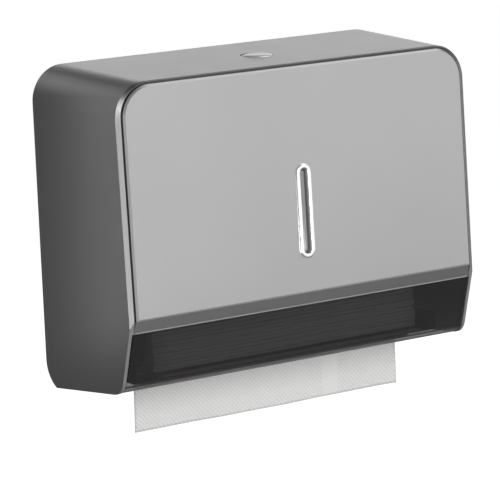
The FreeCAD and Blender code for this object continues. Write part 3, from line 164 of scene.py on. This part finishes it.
softbox("front_softbox", (1.15, -1.50, 0.45), (0.0, -0.08, 0.0), (2.4, 1.9), 16.9)
softbox("low_softbox", (-0.15, -1.50, -0.28), (0.0, -0.08, -0.1), (0.9, 0.2), 5.8)
softbox("fill_softbox", (-0.8, -2.0, 0.9), (0.0, -0.08, 0.0), (1.0, 1.0), 16.2)
softbox("left_softbox", (-1.70, -1.20, -0.20), (-0.1, -0.08, 0.0), (0.5, 0.9), 0.9)
softbox("top_softbox", (0.95, -0.35, 1.45), (0.0, -0.08, 0.0), (1.2, 1.0), 6.0)
softbox("back_softbox", (1.3, 1.9, 0.55), (0.0, 0.0, 0.1), (2.6, 1.2), 11.4)
softbox("back_left_softbox", (-0.5, 1.6, 1.0), (-0.1, -0.05, 0.08), (1.0, 0.9), 1.6)
softbox("left_strip", (-0.225, 0.03, 0.03), (-0.135, -0.09, 0.01), (0.03, 0.26), 0.018)

# Back plate
# The wall plate is one moulding of dark ABS with a raised rim and four holes for the wall screws. Its steel
# hinge pins are pressed into ears at the lower corners. Small steel screws hold the parts that it carries.


def new_group(name, ins, outs):
    """A shader node group; ins are (name, kind, value) and outs are (name, kind)."""
    group = bpy.data.node_groups.new(name, "ShaderNodeTree")
    for label, kind, value in ins:
        made = group.interface.new_socket(name=label, in_out="INPUT", socket_type=kind)
        made.default_value = value
    for label, kind in outs:
        group.interface.new_socket(name=label, in_out="OUTPUT", socket_type=kind)
    return group, group.nodes.new("NodeGroupInput"), group.nodes.new("NodeGroupOutput")


def noise(tree, scale, detail, roughness=0.5):
    """A noise texture of so many grains to the metre."""
    made = tree.nodes.new("ShaderNodeTexNoise")
    link(tree, tree.nodes.new("ShaderNodeTexCoord").outputs["Object"], made.inputs["Vector"])
    for label, given in (("Scale", scale), ("Detail", detail), ("Roughness", roughness)):
        link(tree, given, made.inputs[label])
    return made.outputs["Fac"]


def spread(tree, value, low, high, to_low, to_high):
    """Maps a value from one range to another, held at both ends."""
    made = tree.nodes.new("ShaderNodeMapRange")
    for label, given in (("Value", value), ("From Min", low), ("From Max", high),
                         ("To Min", to_low), ("To Max", to_high)):
        link(tree, given, made.inputs[label])
    return made.outputs["Result"]


def reckon(tree, kind, *givens):
    """A math node of this kind, fed with these values or sockets."""
    made = tree.nodes.new("ShaderNodeMath")
    made.operation = kind
    for given, socket in zip(givens, made.inputs):
        link(tree, given, socket)
    return made.outputs[0]


def mixed_tone(tree, share, one, two):
    """The tone this share of the way from one to two; a Mix node has its colours at sockets 6, 7 and 2."""
    made = tree.nodes.new("ShaderNodeMix")
    made.data_type = "RGBA"
    for label, given in (("Factor", share), (6, one), (7, two)):
        link(tree, given, made.inputs[label])
    return made.outputs[2]


def raised(tree, height, strength, depth):
    """A normal that this height mask raises; depth is how deep it goes, in metres."""
    made = tree.nodes.new("ShaderNodeBump")
    for label, given in (("Height", height), ("Strength", strength), ("Distance", depth)):
        link(tree, given, made.inputs[label])
    return made.outputs["Normal"]


grain_size = 2600.0
grain_tone = 0.45
drift_size = 9.0
drift_tone = 0.55
rubbed_size = 55.0
grain_depth = 0.00002
grain_strength = 0.5


def moulded_grain():
    """The fine texture that a spark-eroded mould leaves, with drifts of tone and a few rubbed patches."""
    group, given, made = new_group(
        "moulded_grain",
        [("Light Tone", "NodeSocketColor", (0.2, 0.2, 0.2, 1.0)),
         ("Dark Tone", "NodeSocketColor", (0.1, 0.1, 0.1, 1.0)),
         ("Smooth", "NodeSocketFloat", 0.4), ("Rough", "NodeSocketFloat", 0.5),
         ("Grains", "NodeSocketFloat", grain_size)],
        [("Tone", "NodeSocketColor"), ("Roughness", "NodeSocketFloat"), ("Height", "NodeSocketFloat")])
    grains = noise(group, given.outputs["Grains"], 2.0)
    drift = spread(group, noise(group, drift_size, 2.0), 0.3, 0.7, 0.0, drift_tone)
    rubbed = noise(group, rubbed_size, 6.0, 0.65)
    share = reckon(group, "MULTIPLY_ADD", grains, grain_tone, drift)
    tone = mixed_tone(group, share, given.outputs["Dark Tone"], given.outputs["Light Tone"])
    roughness = spread(group, rubbed, 0.35, 0.7, given.outputs["Smooth"], given.outputs["Rough"])
    for label, source in (("Tone", tone), ("Roughness", roughness), ("Height", grains)):
        link(group, source, made.inputs[label])
    return group


grain_group = moulded_grain()


def moulded(name, light_tone, dark_tone, smooth, rough, grains=grain_size, depth=grain_depth, **sockets):
    """A moulded plastic with that grain; depth is how deep the grain is, in metres."""
    material = new_material(name, light_tone, smooth, **sockets)
    tree = material.node_tree
    shader = tree.nodes["Principled BSDF"]
    grain = tree.nodes.new("ShaderNodeGroup")
    grain.node_tree = grain_group
    for label, given in (("Light Tone", (*light_tone, 1.0)), ("Dark Tone", (*dark_tone, 1.0)),
                         ("Smooth", smooth), ("Rough", rough), ("Grains", grains)):
        link(tree, given, grain.inputs[label])
    link(tree, grain.outputs["Tone"], shader.inputs["Base Color"])
    link(tree, grain.outputs["Roughness"], shader.inputs["Roughness"])
    link(tree, raised(tree, grain.outputs["Height"], grain_strength, depth), shader.inputs["Normal"])
    return material


def dress(material, *names):
    """Gives the CAD nodes of these names this material."""
    for name in names:
        for slot in nodes[name].material_slots:
            slot.material = material


inner_plastic = moulded("dark_inner_plastic", (0.055, 0.055, 0.057), (0.038, 0.038, 0.040), 0.42, 0.58)
dress(inner_plastic, "back_plate")

zinc_bright = (0.66, 0.66, 0.65, 1.0)
zinc_dull = (0.50, 0.49, 0.47, 1.0)
zinc_smooth = 0.22
zinc_rough = 0.42
turning_marks = 1800.0
stain_size = 240.0


def turned_steel():
    """Zinc-plated steel: fine turning marks in its roughness and a slightly uneven tone."""
    material = new_material("zinc_steel", (0.62, 0.62, 0.60), 0.3, 1.0)
    tree = material.node_tree
    shader = tree.nodes["Principled BSDF"]
    marks = noise(tree, turning_marks, 4.0)
    stain = noise(tree, stain_size, 3.0)
    link(tree, spread(tree, marks, 0.3, 0.7, zinc_smooth, zinc_rough), shader.inputs["Roughness"])
    link(tree, mixed_tone(tree, stain, zinc_bright, zinc_dull), shader.inputs["Base Color"])
    return material


steel = turned_steel()
dress(steel, "hinge_pins")

hair = 1e-6


def rows_to_mesh(name, groups, material, crease=35):
    """Quads between rows of points that each close round, with capped ends; a hair apart counts as one."""
    mesh = bpy.data.meshes.new(name)
    shape = bmesh.new()
    for rows in groups:
        made = [[shape.verts.new(point) for point in row] for row in rows]
        for one, two in zip(made, made[1:]):
            for n in range(len(one)):
                after = (n + 1) % len(one)
                shape.faces.new((one[n], one[after], two[after], two[n]))
        if (rows[0][0] - rows[-1][0]).length > hair:
            shape.faces.new(made[0])
            shape.faces.new(made[-1])
    bmesh.ops.remove_doubles(shape, verts=shape.verts, dist=hair)
    bmesh.ops.dissolve_degenerate(shape, edges=shape.edges, dist=hair)
    bmesh.ops.recalc_face_normals(shape, faces=shape.faces)
    shape.to_mesh(mesh)
    shape.free()
    mesh.shade_smooth()
    mesh.set_sharp_from_angle(angle=math.radians(crease))
    mesh.materials.append(material)
    return piece(name, mesh)


screw_shank = 0.00125
screw_spacing = 0.010
head_height = 0.0017
head_profile = ((0.66, 0.0), (0.88, 0.22), (1.0, 0.6), (1.0, 1.0))
recess_depth = 0.0011
recess_taper = 0.8
cross_arm = 0.52
cross_half_width = 0.13


def cross_outline():
    """A plus sign round the origin in 24 points, for a head of radius 1."""
    corners = []
    for quarter in range(4):
        turn = math.pi / 2 * quarter
        for x, y in ((cross_arm, -cross_half_width), (cross_arm, cross_half_width),
                     (cross_half_width, cross_half_width)):
            corners.append((x * math.cos(turn) - y * math.sin(turn), x * math.sin(turn) + y * math.cos(turn)))
    outline = []
    for n, (x, y) in enumerate(corners):
        after_x, after_y = corners[(n + 1) % len(corners)]
        outline += [(x, y), ((x + after_x) / 2, (y + after_y) / 2)]
    return outline


def screw_rows(top, out, head_radius, length):
    """The rows of one pan-head screw; top is the middle of its head's face, and out looks away from it."""
    cross = cross_outline()
    lay = out.to_track_quat("Z", "Y")

    def loop(points, height):
        return [top + lay @ Vector((x, y, height)) for x, y in points]

    def circle(radius):
        return [(radius * x / math.hypot(x, y), radius * y / math.hypot(x, y)) for x, y in cross]

    recess = [loop([(share * head_radius * x, share * head_radius * y) for x, y in cross], height)
              for share, height in ((recess_taper, -recess_depth), (1.0, 0.0))]
    head = [loop(circle(share * head_radius), -drop * head_height) for share, drop in head_profile]
    shank = [loop(circle(screw_shank), height) for height in (-head_height, -length)]
    return recess + head + shank


def screws(node, out, body):
    """Pan-head screws where the CAD node has its plain ones, their heads looking along out."""
    out = Vector(out)
    groups = []
    for point in (v.co for v in nodes[node].data.vertices):
        flat = point - out * point.dot(out)
        near = [group for group in groups if (group[0] - flat).length < screw_spacing]
        if near:
            near[0][1].append(point)
        else:
            groups.append((flat, [point]))
    rows = []
    for _, points in groups:
        low = Vector([min(p[n] for p in points) for n in range(3)])
        high = Vector([max(p[n] for p in points) for n in range(3)])
        reach = [p.dot(out) for p in points]
        middle = (low + high) / 2
        top = middle + out * (max(reach) - middle.dot(out))
        rows.append(screw_rows(top, out, (high.x - low.x) / 2, max(reach) - min(reach)))
    made = rows_to_mesh("cross_" + node, rows, steel)
    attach(made, body)
    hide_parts(node)


screws("guide_screws", (0, -1, 0), "base")
screws("tray_screws", (0, -1, 0), "base")
screws("catch_screws", (0, -1, 0), "base")

# Tray and guides
# The tray is a shallow moulded shelf of the same dark ABS, with the slot that the towels are drawn through.
# A thin cheek on each side keeps the stack in the middle. All three are screwed to the wall plate.

dress(inner_plastic, "paper_tray", "left_guide", "right_guide")

# Catch
# A small moulded keeper of the same dark ABS, which the latch's hook drops behind. Two screws hold it to the
# wall plate.

dress(inner_plastic, "latch_catch")

# Towel stack
# The towels are white tissue, each folded into a flat packet with its folds at the front and the rear. They
# lie loose on the tray, a little out of line with one another, and are drawn off from below.

paper_pitch = 0.0030
plain_strip_at = 0.0485
plain_strip_width = 0.0125
strip_blur = 0.0005
strong_rows = 0.65
weak_rows = 0.35
emboss_depth = 0.00025
emboss_strength = 0.8
fibre_size = 2200.0
fibre_share = 0.25
cloud_size = 120.0
cloud_share = 0.4
# Painted shade in the embossed dots, together with random cloudy tone.
cloud_and_shade_share = 0.7
paper_white = (0.88, 0.875, 0.87, 1.0)
paper_cloud_and_shade_tone = (0.76, 0.755, 0.75, 1.0)


def paper():
    """White tissue, embossed with dots in slanting rows whose colour is darkened as painted shade, with
    random cloudy tone; a plain strip runs along it near its right side.
    """
    material = new_material("embossed_paper", (0.86, 0.855, 0.85), 0.92,
                            sheen_weight=0.15, sheen_roughness=0.6)
    tree = material.node_tree
    shader = tree.nodes["Principled BSDF"]
    place = tree.nodes.new("ShaderNodeSeparateXYZ")
    link(tree, tree.nodes.new("ShaderNodeTexCoord").outputs["Object"], place.inputs[0])
    across = place.outputs["X"]
    along = reckon(tree, "ADD", place.outputs["Y"], place.outputs["Z"])
    turns = 2 * math.pi / paper_pitch
    slants = [reckon(tree, "MULTIPLY", reckon(tree, kind, across, along), turns)
              for kind in ("ADD", "SUBTRACT")]
    one_way, other_way = (reckon(tree, "SINE", slant) for slant in slants)
    dots = reckon(tree, "ADD", reckon(tree, "MULTIPLY", one_way, strong_rows),
                  reckon(tree, "MULTIPLY", other_way, weak_rows))
    strip = reckon(tree, "ABSOLUTE", reckon(tree, "SUBTRACT", across, plain_strip_at))
    in_rows = spread(tree, strip, plain_strip_width / 2 - strip_blur, plain_strip_width / 2 + strip_blur,
                     0.0, 1.0)
    embossed = reckon(tree, "MULTIPLY", spread(tree, dots, -0.1, 0.8, 0.0, 1.0), in_rows)
    fibres = noise(tree, fibre_size, 6.0, 0.7)
    clouds = noise(tree, cloud_size, 3.0)
    height = reckon(tree, "ADD", embossed, reckon(tree, "MULTIPLY", fibres, fibre_share))
    link(tree, raised(tree, height, emboss_strength, emboss_depth), shader.inputs["Normal"])
    # The embossed dots darken the colour as painted shade; the clouds are random tone.
    clouds_and_dots = reckon(tree, "ADD", embossed, reckon(tree, "MULTIPLY", clouds, cloud_share))
    shade = reckon(tree, "MULTIPLY", clouds_and_dots, cloud_and_shade_share)
    link(tree, mixed_tone(tree, shade, paper_white, paper_cloud_and_shade_tone), shader.inputs["Base Color"])
    return material


towel_paper = paper()

towel_packets = 25
packet_shift = 0.0006
packet_stations = 14
packet_foot = 0.03
packet_height = 0.94
packet_sag = 0.12
sag_waves = 9
fold_steps = 5


def packet_outline(front, rear, foot, top):
    """The outline of one folded towel, seen from its end: flat, with rounded folds, as (y, z) points."""
    middle = (foot + top) / 2
    bend = (top - foot) / 2
    outline = []
    for centre, start in ((rear - bend, -90), (front + bend, 90)):
        for step in range(fold_steps + 1):
            turn = math.radians(start + 180 * step / fold_steps)
            outline.append((centre + bend * math.cos(turn), middle + bend * math.sin(turn)))
    return outline


def stacked_towels():
    """The stack as one mesh of closed packets, each a little out of line with the next."""
    chance = random.Random(7)
    low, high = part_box("towel_stack")
    mesh = bpy.data.meshes.new("stacked_towels")
    shape = bmesh.new()
    rise = (high.z - low.z) / towel_packets
    for count in range(towel_packets):
        shift_y, shift_x = (chance.uniform(-packet_shift, packet_shift) for _ in range(2))
        sag = chance.uniform(0.5, 1.0) * rise * packet_sag
        wave = chance.uniform(0, 6)
        foot = low.z + rise * count + rise * packet_foot
        outline = packet_outline(low.y + packet_shift + shift_y, high.y - packet_shift + shift_y, foot,
                                 foot + rise * packet_height)
        rings = []
        for station in range(packet_stations + 1):
            share = station / packet_stations
            x = low.x + packet_shift + shift_x + (high.x - low.x - 2 * packet_shift) * share
            drop = sag * math.sin(wave + sag_waves * share)
            rings.append([shape.verts.new((x, y, z + drop)) for y, z in outline])
        for one, two in zip(rings, rings[1:]):
            for corner in range(len(outline)):
                after = (corner + 1) % len(outline)
                shape.faces.new((one[corner], one[after], two[after], two[corner]))
        shape.faces.new(rings[0][::-1])
        shape.faces.new(rings[-1])
    bmesh.ops.recalc_face_normals(shape, faces=shape.faces)
    for face in shape.faces:
        face.smooth = len(face.verts) == 4
    shape.to_mesh(mesh)
    shape.free()
    mesh.materials.append(towel_paper)
    return piece("stacked_towels", mesh)


stack = stacked_towels()
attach(stack, "base")
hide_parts("towel_stack")

# Hanging towel
# The lowest towel is one sheet of tissue. Its last fold hangs through the slot in the tray, and the rest lies
# folded to and fro under the stack.

sheet_length = 0.200
sheet_ply = 0.00028
sheet_columns = 110
sheet_step = 0.0018
fold_corner = 0.0012
fold_room = 0.001
wave_start = 0.004
wave_growth = 1.5
wave_depth = 0.0011
hang_slice = 0.001
hang_clearance = 0.005
bottom_waves = ((1.0, 1.4, 0.6), (0.35, 4.3, 2))

towel_low, towel_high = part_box("hanging_towel")
slab_points = [v.co for v in nodes["hanging_towel"].data.vertices]
hang_points = [p.y for p in slab_points if p.z < towel_low.z + hang_slice]
hang_at = (min(hang_points) + max(hang_points)) / 2
slab_foot = min(p.z for p in slab_points if p.y > hang_at + hang_clearance)
layer_gap = (towel_high.z - slab_foot) / 4


def run_of(points, step):
    """Points at even steps along a line of straight runs, with its last point kept."""
    made = []
    for (y0, z0), (y1, z1) in zip(points, points[1:]):
        long = math.hypot(y1 - y0, z1 - z0)
        count = max(1, round(long / step))
        made += [(y0 + (y1 - y0) * n / count, z0 + (z1 - z0) * n / count) for n in range(count)]
    return made + [points[-1]]


def sheet_path():
    """The sheet's side view from its loose edge, up through the mouth, then to and fro on the tray."""
    front, rear = towel_low.y + fold_room, towel_high.y - fold_room
    level = [slab_foot + layer_gap * (n + 0.5) for n in range(3)]
    points = [(hang_at, towel_low.z), (hang_at, level[0] - fold_corner), (hang_at - fold_corner, level[0]),
              (front, level[0]), (front - layer_gap / 2, (level[0] + level[1]) / 2), (front, level[1]),
              (rear, level[1]), (rear + layer_gap / 2, (level[1] + level[2]) / 2), (rear, level[2])]
    used = sum(math.hypot(b[0] - a[0], b[1] - a[1]) for a, b in zip(points, points[1:]))
    points.append((rear - (sheet_length - used), level[2]))
    return run_of(points, sheet_step)


def hanging_sheet():
    """The towel as a grid along that line, a little wavy towards its loose edge."""
    mesh = bpy.data.meshes.new("hanging_sheet")
    shape = bmesh.new()
    path = sheet_path()
    rows = []
    for y, z in path:
        loose = max(0.0, (slab_foot - wave_start - z) / (slab_foot - towel_low.z)) ** wave_growth
        row = []
        for column in range(sheet_columns + 1):
            share = column / sheet_columns
            x = towel_low.x + (towel_high.x - towel_low.x) * share
            wave = sum(high * math.sin(2 * math.pi * share * waves + start)
                       for high, waves, start in bottom_waves)
            row.append(shape.verts.new((x, y + wave_depth * loose * wave, z)))
        rows.append(row)
    for one, two in zip(rows, rows[1:]):
        for column in range(sheet_columns):
            face = shape.faces.new((one[column], one[column + 1], two[column + 1], two[column]))
            face.smooth = True
    shape.to_mesh(mesh)
    shape.free()
    mesh.materials.append(towel_paper)
    made = piece("hanging_sheet", mesh)
    ply = made.modifiers.new("ply", "SOLIDIFY")
    ply.thickness = sheet_ply
    ply.offset = 0.0
    return made


hanging = hanging_sheet()
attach(hanging, "base")
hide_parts("hanging_towel")

# Cover shell
# The whole cover is one moulding of ABS, sprayed with a fine silver lacquer, with large rounded corners and a
# rim round the front panel. It turns on the two hinge pins. On the narrow faces that look forward above and
# below the panel, the lacquer's colour is darkened as painted shade.

flake_size = 3600.0
flake_depth = 0.000006
silver_lacquer = moulded("silver_lacquer", (0.46, 0.46, 0.46), (0.425, 0.425, 0.425), 0.36, 0.39,
                         flake_size, flake_depth, metallic=0.65, coat_weight=0.10, coat_roughness=0.25)
# Painted shade: the lacquer's colour is darkened on forward-facing faces along the seam above the panel,
# fading in down its upper corners, and on the band under the panel.
seam_above = 0.0946
seam_fade = 0.0155
seam_shade = 0.80
band_below = -0.0476
band_end = 0.1276
band_shade = 0.38
shade_edge = 0.0002
front_tilt = (-0.6, -0.4)
painted_shade_tone = (0.01, 0.01, 0.01, 1.0)


def with_painted_shade(material, name):
    """The same lacquer with painted shade, darker on the faces that look forward above the panel and under
    it.
    """
    shaded_copy = material.copy()
    shaded_copy.name = name
    tree = shaded_copy.node_tree
    shader = tree.nodes["Principled BSDF"]
    coords = tree.nodes.new("ShaderNodeTexCoord")
    place, way = (tree.nodes.new("ShaderNodeSeparateXYZ") for _ in range(2))
    link(tree, coords.outputs["Object"], place.inputs[0])
    link(tree, coords.outputs["Normal"], way.inputs[0])
    forward = spread(tree, way.outputs["Y"], *front_tilt, 1.0, 0.0)
    seam = spread(tree, place.outputs["Z"], seam_above - seam_fade, seam_above, 0.0, seam_shade)
    under = spread(tree, place.outputs["Z"], band_below - shade_edge, band_below + shade_edge, band_shade, 0.0)
    side = reckon(tree, "ABSOLUTE", place.outputs["X"])
    band = spread(tree, side, band_end - shade_edge, band_end + shade_edge, under, 0.0)
    shade_mix = reckon(tree, "MULTIPLY", reckon(tree, "MAXIMUM", seam, band), forward)
    full_tone = shader.inputs["Base Color"].links[0].from_socket
    # Painted shade: the lacquer's colour is mixed towards near-black by this share.
    link(tree, mixed_tone(tree, shade_mix, full_tone, painted_shade_tone), shader.inputs["Base Color"])
    return shaded_copy


dress(with_painted_shade(silver_lacquer, "cover_lacquer"), "cover_shell")

# Band bead
# A thin bead runs along the lower edge of the band under the panel, over the top of the window. It is moulded
# with the cover and sprayed with the same lacquer.

bead_end = 0.1272
bead_radius = 0.00042
bead_sides = 12
bead_at = Vector((0.0, -0.09295, -0.05528))
bead_rows = [[bead_at + Vector((x, bead_radius * math.cos(turn), bead_radius * math.sin(turn)))
              for turn in turns_round(bead_sides)] for x in (-bead_end, bead_end)]
bead = rows_to_mesh("band_bead", [bead_rows], silver_lacquer)
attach(bead, "cover")

# Front panel
# A plastic plate, sprayed with the same silver lacquer, is glued into a recess in the cover's front. Four
# pegs on its back place it, with a narrow gap round it. Its edges are bevelled; their colour is brightened as
# a painted highlight, and the walls that stand in the gap are darkened as painted shade.

face_tilt = (-0.97, -0.85)
bevel_tilt = (0.1, 0.4)
wall_tilt = (-0.35, -0.15)
# Painted highlight on the side and top bevels, and painted shade on the walls in the gap, as gains on the
# lacquer's colour.
side_bevel_painted_highlight = 1.75
top_bevel_painted_highlight = 1.12
gap_wall_painted_shade = 0.22


def lacquer_with_painted_edge_light(material, name):
    """The same lacquer with a painted highlight on the bevelled edges and painted shade on the walls that
    stand in the gap.
    """
    edge_lit = material.copy()
    edge_lit.name = name
    tree = edge_lit.node_tree
    shader = tree.nodes["Principled BSDF"]
    way = tree.nodes.new("ShaderNodeSeparateXYZ")
    link(tree, tree.nodes.new("ShaderNodeTexCoord").outputs["Normal"], way.inputs[0])
    bevel = spread(tree, way.outputs["Z"], *bevel_tilt, side_bevel_painted_highlight, top_bevel_painted_highlight)
    gain = spread(tree, way.outputs["Y"], *face_tilt, 1.0, bevel)
    wall = spread(tree, way.outputs["Y"], *wall_tilt, gain, gap_wall_painted_shade)
    # Painted highlight and painted shade: the base colour is scaled by the gain for the face's direction.
    scale = tree.nodes.new("ShaderNodeVectorMath")
    scale.operation = "SCALE"
    link(tree, shader.inputs["Base Color"].links[0].from_socket, scale.inputs[0])
    link(tree, wall, scale.inputs["Scale"])
    link(tree, scale.outputs[0], shader.inputs["Base Color"])
    return edge_lit


dress(lacquer_with_painted_edge_light(silver_lacquer, "panel_lacquer"), "front_panel")

# Sight slot
# A plated plastic ring with a rounded face is glued into the panel round an upright slot. A clear rod lies in
# it, a little below the ring's face, and shows how many towels are left.

haze_size = 130.0
plating_haze = 0.10


def plated(name, colour, roughness, metallic=1.0):
    """Bright plating on plastic: nearly a mirror, with slight haze where it has been wiped."""
    material = new_material(name, colour, roughness, metallic)
    tree = material.node_tree
    shader = tree.nodes["Principled BSDF"]
    haze = noise(tree, haze_size, 4.0)
    link(tree, spread(tree, haze, 0.35, 0.7, roughness, roughness + plating_haze),
         shader.inputs["Roughness"])
    return material


panel_lean = 2.04
lean = math.radians(panel_lean)
ring_out = Vector((0.0, -math.cos(lean), math.sin(lean)))
ring_up = Vector((0.0, math.sin(lean), math.cos(lean)))
bezel_points = [v.co for v in nodes["sight_bezel"].data.vertices]
ring_front = max(p.dot(ring_out) for p in bezel_points)
ring_heights = [p.dot(ring_up) for p in bezel_points]
ring_middle = (max(ring_heights) + min(ring_heights)) / 2
ring_reach = 0.006
ring_spine = (max(ring_heights) - min(ring_heights)) / 2 - ring_reach
ring_steps = 48


def slot_loop(radius, depth):
    """A row round the slot, this far out from the slot's middle line and this deep below the ring's front."""
    loop = []
    for side in (1, -1):
        for step in range(ring_steps + 1):
            turn = math.pi * step / ring_steps
            loop.append(Vector((side * radius * math.cos(turn), 0, 0))
                        + ring_up * (ring_middle + side * (ring_spine + radius * math.sin(turn)))
                        + ring_out * (ring_front - depth))
    return loop


ring_profile = [(0.00450, 0.00640), (0.00450, 0.00122), (0.00600, 0.00118), (0.00600, 0.00104),
                (0.00594, 0.00098), (0.00566, 0.00096), (0.00560, 0.00090), (0.00556, 0.00036),
                (0.00540, 0.00012), (0.00512, 0.00002), (0.00440, 0.00000), (0.00380, 0.00000),
                (0.00318, 0.00006), (0.00285, 0.00022), (0.00268, 0.00048), (0.00262, 0.00090),
                (0.00260, 0.00480)]
bright_trim = plated("bright_plating", (0.88, 0.88, 0.89), 0.16)
ring_rows = [slot_loop(radius, depth) for radius, depth in ring_profile + ring_profile[:1]]
ring = rows_to_mesh("sight_ring", [ring_rows], bright_trim, 40)
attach(ring, "cover")
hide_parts("sight_bezel")

rod_radius = 0.00255
rod_below = 0.0020
rod_steps = 10
clear_strip = new_material("clear_strip", (0.27, 0.27, 0.275), 0.10, specular_ior_level=0.8)
rod_turns = [math.radians(90 / rod_steps * n) for n in range(rod_steps + 1)]
rod_rows = [slot_loop(rod_radius * math.sin(turn) + hair, rod_below + rod_radius * (1 - math.cos(turn)))
            for turn in rod_turns]
rod = rows_to_mesh("sight_rod", [rod_rows], clear_strip, 60)
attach(rod, "cover")
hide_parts("sight_lens")

# Smoked window
# The lower front is a moulding of dark translucent plastic that rolls under at its foot, where it is matt
# below and its colour is lighter as a painted reflection of the floor. Four screws through its flange hold it
# to the inside of the cover.

smoke = (0.036, 0.033, 0.035)
smoke_polish = 0.08
smoke_thin = 0.55
smoke_at_slant = 0.97
slant_range = (0.30, 0.75)
lip_tilt = (-0.80, -0.55)
# Painted reflection: the lighter colour of the down-facing lip, which is also matt.
lip_painted_reflection_tone = (0.20, 0.185, 0.190)
matt_roughness = 0.40


def smoked_plastic():
    """Dark see-through plastic that looks denser at a slant, and matt where it faces down, with a lighter
    colour there as a painted reflection.
    """
    material = new_material("smoked_plastic", smoke, smoke_polish, ior=1.49)
    tree = material.node_tree
    shader = tree.nodes["Principled BSDF"]
    slant = tree.nodes.new("ShaderNodeLayerWeight")
    slant.inputs["Blend"].default_value = 0.5
    way = tree.nodes.new("ShaderNodeSeparateXYZ")
    link(tree, tree.nodes.new("ShaderNodeTexCoord").outputs["Normal"], way.inputs[0])
    matt = spread(tree, way.outputs["Z"], *lip_tilt, 1.0, 0.0)
    clear = spread(tree, slant.outputs["Facing"], *slant_range, smoke_thin, smoke_at_slant)
    link(tree, reckon(tree, "MAXIMUM", clear, matt), shader.inputs["Alpha"])
    link(tree, spread(tree, matt, 0.0, 1.0, smoke_polish, matt_roughness), shader.inputs["Roughness"])
    # Painted reflection: the colour turns lighter where the lip faces down.
    link(tree, mixed_tone(tree, matt, (*smoke, 1.0), (*lip_painted_reflection_tone, 1.0)), shader.inputs["Base Color"])
    return material


dress(smoked_plastic(), "smoked_window")
screws("window_screws", (0, 1, 0), "cover")

# Latch
# Under the button a cup of dark ABS, screwed to bosses inside the top, carries the button, its spring and the
# hooked lever. The lever is a pale moulding and turns on a steel pin in the cup's two cheeks.

dress(inner_plastic, "latch_housing")
lever_plastic = moulded("lever_plastic", (0.62, 0.62, 0.60), (0.54, 0.54, 0.52), 0.35, 0.45)
dress(lever_plastic, "latch_lever")
dress(steel, "latch_pin")
screws("housing_screws", (0, 0, -1), "cover")

# Push button
# A round cap of plated plastic, shallowly dished and rounded at its edge, stands a little proud of the top.
# Its stop flange below the top wall keeps it in, and its stem reaches down to the lever.

button_low, button_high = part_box("push_button")
button_face = button_high.z
button_stem = button_face - button_low.z
cap_profile = [(hair, -0.00024), (0.0030, -0.00020), (0.0050, -0.00009), (0.0062, -0.00001), (0.0066, 0.0),
               (0.0076, -0.00010), (0.0085, -0.00030), (0.0092, -0.00055), (0.0097, -0.00085),
               (0.0100, -0.0012), (0.0100, -0.0039), (0.0120, -0.0039), (0.0120, -0.0051), (0.0082, -0.0051),
               (0.0082, -0.0020), (0.0020, -0.0020), (0.0020, -button_stem), (hair, -button_stem)]
cap_sides = 72
cap_axis = Vector((0.0, (button_low.y + button_high.y) / 2, button_face))
cap_rows = [[cap_axis + Vector((radius * math.cos(turn), radius * math.sin(turn), height))
             for turn in turns_round(cap_sides)] for radius, height in cap_profile]
bright_button = plated("bright_button", (0.97, 0.97, 0.97), 0.34, 0.45)
cap = rows_to_mesh("button_cap", [cap_rows], bright_button)
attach(cap, "button")
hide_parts("push_button")

# Button spring
# A coil spring of steel wire stands in the cup under the button and lifts it again. It has three rising coils
# and half a level one at each end.

spring_wire = 0.00045
spring_turns = 4.0
level_turn = 0.5
spring_steps = 24
wire_sides = 10
spring_low, spring_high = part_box("button_spring")
spring_middle = (spring_low + spring_high) / 2
spring_radius = (spring_high.x - spring_low.x) / 2 - spring_wire
spring_rise = spring_high.z - spring_low.z - 2 * spring_wire
spring_rows = []
for step in range(int(spring_turns * spring_steps) + 1):
    turn = step / spring_steps
    angle = 2 * math.pi * turn
    risen = min(max((turn - level_turn) / (spring_turns - 2 * level_turn), 0.0), 1.0)
    outward = Vector((math.cos(angle), math.sin(angle), 0.0))
    wire_at = Vector((spring_middle.x, spring_middle.y, spring_low.z + spring_wire + risen * spring_rise))
    wire_at += outward * spring_radius
    spring_rows.append([wire_at + spring_wire * (outward * math.cos(around)
                                                 + Vector((0.0, 0.0, math.sin(around))))
                        for around in turns_round(wire_sides)])
spring = rows_to_mesh("coil_spring", [spring_rows], steel, 60)
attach(spring, "button")
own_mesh(spring)
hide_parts("button_spring")
